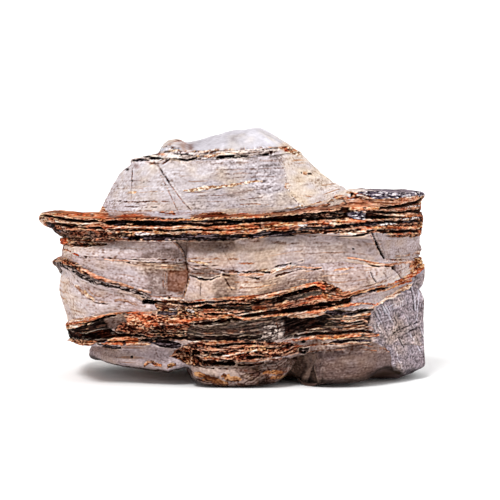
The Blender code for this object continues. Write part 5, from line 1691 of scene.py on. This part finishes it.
    def stripes(self):
        """Plates, gaps and lines that run along the bedding."""
        for number, (kind, push, points) in enumerate(STRIPES):
            stations, tops, bottoms = np.array(points, float).T
            chosen = self.near(stations[0] - TIP_ROOM, stations[-1] + TIP_ROOM,
                               tops.min() - EDGE_ROOM, bottoms.max() + EDGE_ROOM)
            if len(chosen) == 0:
                continue
            width, height = self.width[chosen], self.height[chosen]
            x, y = self.x[chosen], self.y[chosen]
            level = np.full(len(chosen), number * STRIPE_LEVEL)
            ragged = KINDS[kind].ragged
            top = np.interp(width, stations, tops) + self.edge(chosen, STRIPE_TOP_SEED + number, ragged)
            bottom = np.interp(width, stations, bottoms)
            bottom = bottom + self.edge(chosen, STRIPE_BOTTOM_SEED + number, ragged)
            tips = TIP_TAPER * np.minimum(width - stations[0], stations[-1] - width)
            inside = np.minimum(np.minimum(height - top, bottom - height), tips)
            share = smooth_step(-LINE_BORDER, LINE_BORDER, inside)
            if kind in BROKEN:
                share = share * smooth_step(*BROKEN_GAP, noise("gaps of broken stripes", x, y, level))
            else:
                slant = GAP_SLANT * height * PIXEL
                share = share * smooth_step(*STRIPE_GAP, noise("gaps of stripes", x, y, level + slant))
            if bottoms.max() < DOME_FOOT and stations[-1] - stations[0] < SHORT_STRIPE:
                share = share * smooth_step(*FRONT_FADE, y)
            # Painted highlight: a pale rim along the edges of a deep gap
            if push < RIM_PUSH:
                rim = smooth_step(*RIM_OUTSIDE, inside) * smooth_step(*RIM_INSIDE, inside)
                rim = rim * smooth_step(*RIM_GAP, noise("gaps of rims", x, y, level))
                self.colour[chosen] = blended(self.colour[chosen], RIM, RIM_COVER * rim)
            self.lay(chosen, share, kind, push * (1.0 + noise("uneven push", x, y, level)))

    def cracks(self):
        """Cracks and edges that run in any direction."""
        for number, (kind, push, half, points) in enumerate(CRACKS):
            xs, ys = np.array(points, float).T
            chosen = self.in_front(*frame_around(xs, ys, EDGE_ROOM))
            if len(chosen) == 0:
                continue
            width = self.plain_width[chosen] + CRACK_WANDER * self.edge(chosen, CRACK_SEED + number, 1.0)
            away = line_distance(width, self.plain_height[chosen], xs, ys)
            beads = soft_noise(self.x[chosen], self.y[chosen], self.z[chosen], BEAD_SIZE, BEAD_SEED + number)
            wide = half * (1.0 + BEAD_SHARE * beads)
            share = smooth_step(wide + LINE_BORDER, wide - LINE_BORDER, away)
            if kind in BROKEN:
                share = share * (CRACK_LEAST + (1.0 - CRACK_LEAST) * smooth_step(*CRACK_GAP, beads))
            self.lay(chosen, share, kind, push)

    def spots(self):
        """Small spots and holes."""
        for number, (kind, push, (middle_x, middle_y), (half_x, half_y)) in enumerate(SPOTS):
            room_x, room_y = half_x + SPOT_ROOM, half_y + SPOT_ROOM
            chosen = self.in_front(middle_x - room_x, middle_x + room_x, middle_y - room_y, middle_y + room_y)
            if len(chosen) == 0:
                continue
            away = np.hypot((self.plain_width[chosen] - middle_x) / half_x,
                            (self.plain_height[chosen] - middle_y) / half_y)
            away = away + self.edge(chosen, SPOT_SEED + number, SPOT_RAGGED)
            self.lay(chosen, smooth_step(*SPOT_BORDER, away), kind, push)

    def stains(self):
        """Rusty streaks in the pale beds."""
        massive = smooth_step(*STAIN_CRUMBLE, self.crumble) * self.stain
        chosen = np.nonzero(massive > STAIN_LEAST)[0]
        brightness = smooth_step(*STAIN_BRIGHTNESS, self.colour[chosen].mean(axis=1))
        rust = self.colour[chosen] * np.array(STAIN_TINT)
        self.colour[chosen] = blended(self.colour[chosen], rust, STAIN_COVER * massive[chosen] * brightness)

    def vary_hues(self):
        """Redder, more golden and grey places in the crumbly rock, warmer ones in the massive."""
        hue = self.noise("red or gold")
        crumbly = smooth_step(*CRUMBLY, self.crumble)
        grey_share = self.colour.min(axis=1) / np.maximum(self.colour.max(axis=1), 1.0)
        rusty = crumbly * smooth_step(*RUSTY, grey_share)
        red = (rusty * smooth_step(*HUE_REACH, hue))[:, None]
        gold = (rusty * smooth_step(*HUE_REACH, -hue))[:, None]
        self.colour *= 1.0 + red * np.array(RED_TINT) + gold * np.array(GOLD_TINT)
        bare = crumbly * smooth_step(*BARE_PLACES, self.noise("grey places"))
        plain = self.colour.mean(axis=1)[:, None] * np.array(BARE_TINT)
        self.colour = blended(self.colour, plain, BARE_COVER * bare)
        coolest = np.where(self.height < DOME_FOOT, COOLEST_DOME, COOLEST_BEDS)
        warm = np.clip(self.noise("warm places"), coolest, 1.0) * (1.0 - crumbly)
        self.colour *= 1.0 + warm[:, None] * np.array(WARM_TINT)


def drawn_rock(x, y, z, bedding, width, height, normal_y):
    """Relief, colour and crumble that the drawing gives a grid of points."""
    shape = x.shape
    front = (normal_y < FRONT_FACING) & (y < FRONT_DEPTH)
    drift = noise("drift", x, y, bedding) * smooth_step(*DRIFT_DEPTH, y)
    rock = Rock(*(field.ravel() for field in (x, y, z, bedding, width, height + drift, front)))
    rock.draw()
    relief = (rock.push + rock.relief).reshape(shape)
    return relief, rock.colour.reshape(shape + (3,)), rock.crumble.reshape(shape)


def blurred(field, rings, columns):
    """Mean of a field over some rings and columns around each point."""
    padded = np.pad(field, ((rings, rings), (0, 0)), mode="edge")
    total = np.cumsum(np.vstack([np.zeros(field.shape[1]), padded]), axis=0)
    field = (total[2 * rings + 1:] - total[:-2 * rings - 1]) / (2 * rings + 1)
    padded = np.concatenate([field[:, -columns:], field, field[:, :columns]], axis=1)
    total = np.cumsum(np.hstack([np.zeros((len(field), 1)), padded]), axis=1)
    return (total[:, 2 * columns + 1:] - total[:, :-2 * columns - 1]) / (2 * columns + 1)


def soft_colour(colour, rings, columns):
    """Mean colour over some rings and columns around each point."""
    return np.stack([blurred(colour[..., part], rings, columns) for part in range(3)], axis=-1)


def flat_colour(colour, shares):
    """Colour of flat rings, blurred over more columns where these are narrow."""
    reaches = np.rint(FLAT_REACH / shares).astype(int)
    return np.concatenate([soft_colour(ring[None], 0, reach) for ring, reach in zip(colour, reaches)])


def crisp(colour):
    """Colour of a grid with more contrast between neighbouring points."""
    change = colour - soft_colour(colour, *CRISP_REACH)
    return colour + CRISP_LIGHT * np.maximum(change, 0.0) + CRISP_DARK * np.minimum(change, 0.0)


def painted_shade_and_edge_highlight(colour, relief, crumble):
    """Colour of a grid with painted shade in its hollows, and pale edges where it is crumbly, partly wear and
    partly painted highlight.
    """
    hollow = blurred(relief, *HOLLOW_REACH) - relief
    colour = colour * (1.0 - HOLLOW_SHADE * np.clip(hollow / HOLLOW_DEPTH, 0.0, 1.0))[..., None]
    edge = np.clip(-hollow / WEAR_AND_HIGHLIGHT_HEIGHT, 0.0, 1.0) * crumble
    return blended(colour, WEAR_AND_HIGHLIGHT_COLOUR, WEAR_AND_HIGHLIGHT_COVER * edge)


Grid = namedtuple("Grid", "x y z colour crumble")


def side_grid(layers, below, ends=(STONE_LEFT, STONE_RIGHT)):
    """Side of a piece, as a grid of rings and columns."""
    rings = side_rings(layers, below)
    angle = np.broadcast_to(column_angles(), (len(rings.way), COLUMNS))
    radius, normal_x, normal_y = outline(angle, rings.reach[:, None, :])
    x = radius * np.cos(angle)
    y = radius * np.sin(angle)
    z = ring_heights(x, y, rings)
    forms = form_push(x, z, FRONT_FORMS) * smooth_step(*FRONT_FORM_DEPTH, y)
    forms = forms + form_push(x, z, BACK_FORMS) * smooth_step(*BACK_FORM_DEPTH, y)
    push = rings.push[:, None] + noise("swell", x, y, z) + forms
    x = x + push * normal_x
    y = y + push * normal_y
    for _ in range(END_ROUNDS):
        z = ring_heights(x, y, rings)
        shift = end_push(x, y, z, normal_x, *ends)
        x = x + shift * normal_x
        y = y + shift * normal_y
    low, high = bed_heights(x, y, rings)
    z = low + (high - low) * rings.way[:, None]
    width, height = drawn_place(*front_place(x, y, z))
    relief, colour, crumble = drawn_rock(x, y, z, z - (low + high) / 2.0, width, height, normal_y)
    relief = relief * (1.0 - END_LOSS * np.abs(normal_x) ** END_LOSS_POWER)
    x = x + relief * normal_x
    y = y + relief * normal_y
    colour = crisp(colour)
    if below == "sole":
        colour = colour * (1.0 - UNDERSIDE_SHADE * smooth_step(*UNDERSIDE_WAY, rings.way))[:, None, None]
    # Painted shade in the hollows, and pale edges of wear and painted highlight on raised crumbly rock
    return Grid(x, y, z, painted_shade_and_edge_highlight(colour, relief, crumble), crumble)


def flat_rings(grid, ring, shares, height_of, up, rows):
    """Rings from one ring of a grid in to the axis, on a surface. They take their rock from
    some rows of the front view."""
    shares = np.array(shares)[:, None]
    x = grid.x[ring] * shares
    y = grid.y[ring] * shares
    z = height_of(x, y, shares)
    bumps = noise("bumps", x, y, z)
    z = z + up * bumps * smooth_step(*FLAT_BUMP_FADE, shares)
    width, height = front_place(x, y, z)
    place = (width, np.clip(height, *rows))
    relief, colour, crumble = drawn_rock(x, y, z, FLAT_BEDDING * bumps, *place, np.zeros_like(x))
    z = z + up * FLAT_RELIEF * relief * smooth_step(*FLAT_RELIEF_FADE, shares)
    return Grid(x, y, z, flat_colour(colour, shares[:, 0]), crumble)


def shelf_rings(band, shoulder):
    """Rings of the shelf, from the upper edge of the band in to the foot of the shoulder."""
    shares = ((np.arange(SHELF_RINGS) + 1.0) / (SHELF_RINGS + 1.0))[:, None]
    x, y, z = (outer[-1] * (1.0 - shares) + inner[0] * shares for outer, inner in zip(band[:3], shoulder[:3]))
    wide = np.hypot(band.x[-1] - shoulder.x[0], band.y[-1] - shoulder.y[0])
    loose = np.sin(np.pi * shares) * smooth_step(*SHELF_FADE, wide)
    bumps = noise("shelf bumps", x, y, z)
    z = z + bumps * loose
    width, height = front_place(x, y, z)
    height = np.where(y > 0.0, np.maximum(height, SHELF_ROW), height)
    relief, colour, crumble = drawn_rock(x, y, z, FLAT_BEDDING * bumps, width, height, np.zeros_like(x))
    z = z + SHELF_RELIEF * relief * loose
    return Grid(x, y, z, soft_colour(colour, 0, FLAT_REACH), crumble)


def shoulder_top(x, y, share):
    """Height of the top of the shoulder."""
    return surface_heights(x, y)[SURFACES.index("shoulder top")]


def sole_bottom(x, y, share):
    """Height of the underside."""
    return sole_height(x, y)


def cap_top(dome):
    """Height of the cap over the last ring of the dome."""
    rim = dome.z[-1]

    def height(x, y, share):
        """Height at a place that lies at a share of the way out."""
        crest = along_line(CREST, x) - CREST_FALL * y**2
        return rim + np.maximum(crest - rim, 0.0) * (1.0 - share**CREST_SHOULDER)

    return height


def joined(*grids):
    """Grids on top of each other as one."""
    return Grid(*(np.concatenate(field) for field in zip(*grids)))


def inward(count):
    """Shares of the way out, from the rim of a cap to near its middle."""
    return 1.0 - (np.arange(count) + 1.0) / (count + INNERMOST)


def kept_in(value, low, high):
    """Values bent back that pass a limit less LIMIT_SLACK, so that they stay inside of it."""
    high_part = high - LIMIT_SLACK
    low_part = low + LIMIT_SLACK
    value = np.where(value > high_part, high - LIMIT_SLACK * np.exp((high_part - value) / LIMIT_SLACK), value)
    return np.where(value < low_part, low + LIMIT_SLACK * np.exp((value - low_part) / LIMIT_SLACK), value)


def linear(colour):
    """Linear values of a colour given from 0 to 255."""
    value = np.clip(colour / 255.0, 0.0, 1.0)
    return np.where(value <= 0.04045, value / 12.92, ((value + 0.055) / 1.055) ** 2.4)


def add_attributes(mesh, grid):
    """Store the colour and the crumble of each vertex."""
    colour = linear(grid.colour.reshape(-1, 3))
    colour = np.vstack([colour, colour[0], colour[-1]])
    colour = np.hstack([colour, np.ones((len(colour), 1))])
    mesh.attributes.new("rock_colour", "FLOAT_COLOR", "POINT").data.foreach_set("color", colour.ravel())
    crumble = np.concatenate([grid.crumble.ravel(), [0.0, 0.0]])
    mesh.attributes.new("crumble", "FLOAT", "POINT").data.foreach_set("value", crumble)


def closed_mesh(name, grid):
    """Mesh of a grid of rings, with a point in the middle of its first and last ring."""
    rows, columns = grid.x.shape
    axes = grid[:3]
    places = np.stack([axis.ravel() for axis in axes], axis=1)
    places = np.vstack([places, [axis[0].mean() for axis in axes], [axis[-1].mean() for axis in axes]])
    index = np.arange(rows * columns).reshape(rows, columns)
    beside = np.roll(index, -1, axis=1)
    quads = np.stack([index[:-1], beside[:-1], beside[1:], index[1:]], axis=-1).reshape(-1, 4)
    low_fan = np.stack([np.full(columns, rows * columns), beside[0], index[0]], axis=1)
    high_fan = np.stack([np.full(columns, rows * columns + 1), index[-1], beside[-1]], axis=1)
    corners = np.concatenate([quads.ravel(), low_fan.ravel(), high_fan.ravel()])
    sizes = np.concatenate([np.full(len(quads), 4), np.full(2 * columns, 3)])
    mesh = bpy.data.meshes.new(name)
    mesh.vertices.add(len(places))
    mesh.vertices.foreach_set("co", (places / MILLIMETRES).ravel())
    mesh.loops.add(len(corners))
    mesh.loops.foreach_set("vertex_index", corners)
    mesh.polygons.add(len(sizes))
    mesh.polygons.foreach_set("loop_start", np.concatenate([[0], np.cumsum(sizes)[:-1]]))
    mesh.update(calc_edges=True)
    mesh.validate()
    mesh.shade_smooth()
    return mesh


def build_piece(name, grid, material):
    """One piece of the stone, inside the limits of its box."""
    x, y = (kept_in(grid[axis], BOX_LOW[axis], BOX_HIGH[axis]) for axis in (0, 1))
    grid = Grid(x, y, np.clip(grid.z, BOX_LOW[2], BOX_HIGH[2]), grid.colour, grid.crumble)
    mesh = closed_mesh(name, grid)
    add_attributes(mesh, grid)
    mesh.materials.append(material)
    piece = bpy.data.objects.new(name, mesh)
    bpy.context.scene.collection.objects.link(piece)
    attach(piece, "root")
    return piece


def add_node(tree, sort, inputs=(), **settings):
    """Node with some settings, and with its inputs joined to sockets or set to values."""
    node = tree.nodes.new(sort)
    for name, value in settings.items():
        setattr(node, name, value)
    for name, value in dict(inputs).items():
        if isinstance(value, bpy.types.NodeSocket):
            tree.links.new(value, node.inputs[name])
        else:
            node.inputs[name].default_value = value
    return node


def mixed_values(tree, factor, first, second):
    """Value between two values."""
    inputs = {"Factor": factor, VALUE_SOCKETS[0]: first, VALUE_SOCKETS[1]: second}
    return add_node(tree, "ShaderNodeMix", inputs, data_type="FLOAT").outputs[0]


def tinted(tree, factor, colour, tint):
    """Colour multiplied by a tint, as much as a factor says."""
    inputs = {"Factor": factor, COLOUR_SOCKETS[0]: colour, COLOUR_SOCKETS[1]: tint}
    return add_node(tree, "ShaderNodeMix", inputs, data_type="RGBA", blend_type="MULTIPLY").outputs[2]


def tint_of(tree, value, *stops):
    """Tint for a value, between two stops, each a value and a tint."""
    ramp = add_node(tree, "ShaderNodeValToRGB", {"Fac": value})
    for element, (position, tint) in zip(ramp.color_ramp.elements, stops):
        element.position = position
        element.color = tint + (1.0,)
    return ramp.outputs["Color"]


def stretched(tree, value, low, high):
    """Value from 0 to 1 made to run from low to high."""
    inputs = {"Value": value, "To Min": low, "To Max": high}
    return add_node(tree, "ShaderNodeMapRange", inputs).outputs["Result"]


def rock_material():
    """Rock whose colour and crumble come from the mesh, with grain and fine laminae."""
    material = bpy.data.materials.new("layered rock")
    material.use_nodes = True
    tree = material.node_tree
    colour = add_node(tree, "ShaderNodeAttribute", attribute_name="rock_colour").outputs["Color"]
    crumble = add_node(tree, "ShaderNodeAttribute", attribute_name="crumble").outputs["Fac"]
    place = add_node(tree, "ShaderNodeTexCoord").outputs["Object"]
    layers = add_node(tree, "ShaderNodeMapping", {"Vector": place, "Scale": LAMINA_SCALE})
    laminae = add_node(tree, "ShaderNodeTexNoise", {
        "Vector": layers.outputs["Vector"], "Scale": 1.0,
        "Detail": LAMINA_DETAIL, "Roughness": LAMINA_ROUGHNESS})
    grain = add_node(tree, "ShaderNodeTexNoise", {
        "Vector": place, "Scale": GRAIN_SCALE, "Detail": GRAIN_DETAIL})
    mottle = mixed_values(tree, crumble, laminae.outputs["Fac"], grain.outputs["Fac"])
    tint = tint_of(tree, mottle, MOTTLE_DARK, MOTTLE_LIGHT)
    mottled = tinted(tree, stretched(tree, crumble, *MOTTLE_STRENGTH), colour, tint)
    bump = add_node(tree, "ShaderNodeBump", {
        "Height": mottle, "Strength": BUMP_STRENGTH, "Distance": BUMP_DISTANCE})
    shader = tree.nodes["Principled BSDF"]
    shader.inputs["Metallic"].default_value = 0.0
    shader.inputs["Specular IOR Level"].default_value = SPECULAR
    tree.links.new(crumb_cover(tree, place, crumble, mottled), shader.inputs["Base Color"])
    tree.links.new(stretched(tree, grain.outputs["Fac"], *ROUGHNESS), shader.inputs["Roughness"])
    tree.links.new(bump.outputs["Normal"], shader.inputs["Normal"])
    return material


def crumb_cover(tree, place, crumble, colour):
    """Colour with loose crumbs over it where crumbly rock faces up."""
    normal = add_node(tree, "ShaderNodeNewGeometry").outputs["Normal"]
    height = add_node(tree, "ShaderNodeSeparateXYZ", {"Vector": normal}).outputs["Z"]
    upward = add_node(tree, "ShaderNodeMapRange", {
        "Value": height, "From Min": CRUMB_UPWARD[0], "From Max": CRUMB_UPWARD[1]})
    share = add_node(tree, "ShaderNodeMath", {0: upward.outputs["Result"], 1: crumble}, operation="MULTIPLY")
    cells = [cell_value(tree, place, scale) for scale in CRUMB_SCALES]
    tint = tint_of(tree, mixed_values(tree, CRUMB_MIX, *cells), CRUMB_DARK, CRUMB_LIGHT)
    return tinted(tree, share.outputs["Value"], colour, tint)


def cell_value(tree, place, scale):
    """One value for each cell of a pattern of crumbs."""
    cells = add_node(tree, "ShaderNodeTexVoronoi", {"Vector": place, "Scale": scale})
    parts = add_node(tree, "ShaderNodeSeparateColor", {"Color": cells.outputs["Color"]})
    return parts.outputs["Red"]


def build_stone():
    """The six pieces of the stone, from the bottom to the top."""
    material = rock_material()
    feet = side_grid(FEET, "sole", (FEET_LEFT, STONE_RIGHT))
    sole = flat_rings(feet, 0, inward(SOLE_RINGS)[::-1], sole_bottom, -1.0, SOLE_ROWS)
    build_piece("stone_feet", joined(sole, feet), material)
    build_piece("stone_lower_plates", side_grid(LOWER, "foot top"), material)
    build_piece("stone_left_bed", side_grid(LEFT_BED, "lower top"), material)
    build_piece("stone_middle_beds", side_grid(MIDDLE, "left bed top"), material)
    band = side_grid(BAND, "upper bed top")
    shoulder = side_grid(SHOULDER, "band top")
    shelf = shelf_rings(band, shoulder)
    top = flat_rings(shoulder, -1, SHOULDER_SHARES, shoulder_top, 1.0, SHOULDER_ROWS)
    build_piece("stone_band", joined(band, shelf, shoulder, top), material)
    dome = side_grid(DOME, "shoulder top", (DOME_LEFT, DOME_RIGHT))
    cap = flat_rings(dome, -1, inward(CAP_RINGS), cap_top(dome), 1.0, CAP_ROWS)
    piece = build_piece("stone_dome", joined(dome, cap), material)
    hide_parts("stone")


def build_camera():
    """Camera of the front view."""
    camera = bpy.data.objects.new("camera", bpy.data.cameras.new("camera"))
    tilt = math.radians(TILT)
    camera.data.sensor_width = SENSOR
    camera.data.lens = SENSOR * DISTANCE / (PIXEL * VIEW_SIZE)
    camera.location = (TARGET[0] / MILLIMETRES, -DISTANCE * math.cos(tilt) / MILLIMETRES,
                       (TARGET[2] + DISTANCE * math.sin(tilt)) / MILLIMETRES)
    camera.rotation_euler = (math.radians(90) - tilt, 0.0, 0.0)
    bpy.context.scene.collection.objects.link(camera)
    bpy.context.scene.camera = camera


def floor_material():
    """Plain pale matte floor."""
    material = bpy.data.materials.new("pale floor")
    material.use_nodes = True
    shader = material.node_tree.nodes["Principled BSDF"]
    shader.inputs["Base Color"].default_value = FLOOR_COLOUR
    shader.inputs["Roughness"].default_value = FLOOR_ROUGHNESS
    shader.inputs["Specular IOR Level"].default_value = 0.0
    return material


def build_floor():
    """Floor with a backdrop that curves up behind the stone."""
    profile = [(FLOOR_FRONT, 0.0), (FLOOR_BACK, 0.0)]
    for step in range(1, BACKDROP_STEPS + 1):
        turn = math.radians(90 * step / BACKDROP_STEPS)
        behind = FLOOR_BACK + BACKDROP_CURVE * math.sin(turn)
        profile.append((behind, BACKDROP_CURVE * (1.0 - math.cos(turn))))
    profile.append((FLOOR_BACK + BACKDROP_CURVE, BACKDROP_HEIGHT))
    places = [(side * FLOOR_HALF_WIDTH, y, z) for y, z in profile for side in (-1, 1)]
    faces = [(2 * i, 2 * i + 1, 2 * i + 3, 2 * i + 2) for i in range(len(profile) - 1)]
    mesh = bpy.data.meshes.new("floor")
    mesh.from_pydata(places, [], faces)
    mesh.shade_smooth()
    mesh.materials.append(floor_material())
    floor = bpy.data.objects.new("floor", mesh)
    bpy.context.scene.collection.objects.link(floor)


def build_light():
    """Soft light from all around, and a brighter one from above the left shoulder."""
    world = bpy.data.worlds.new("studio")
    world.use_nodes = True
    sky = world.node_tree.nodes["Background"]
    sky.inputs["Color"].default_value = SKY_COLOUR
    sky.inputs["Strength"].default_value = SKY_STRENGTH
    bpy.context.scene.world = world
    for name, (energy, softness, tilt, turn) in LAMPS.items():
        sun = bpy.data.objects.new(name, bpy.data.lights.new(name, "SUN"))
        sun.data.energy = energy
        sun.data.angle = math.radians(softness)
        sun.rotation_euler = (math.radians(tilt), 0.0, math.radians(turn))
        bpy.context.scene.collection.objects.link(sun)
    bpy.context.scene.view_settings.view_transform = "Standard"


build_stone()
build_floor()
build_light()
build_camera()
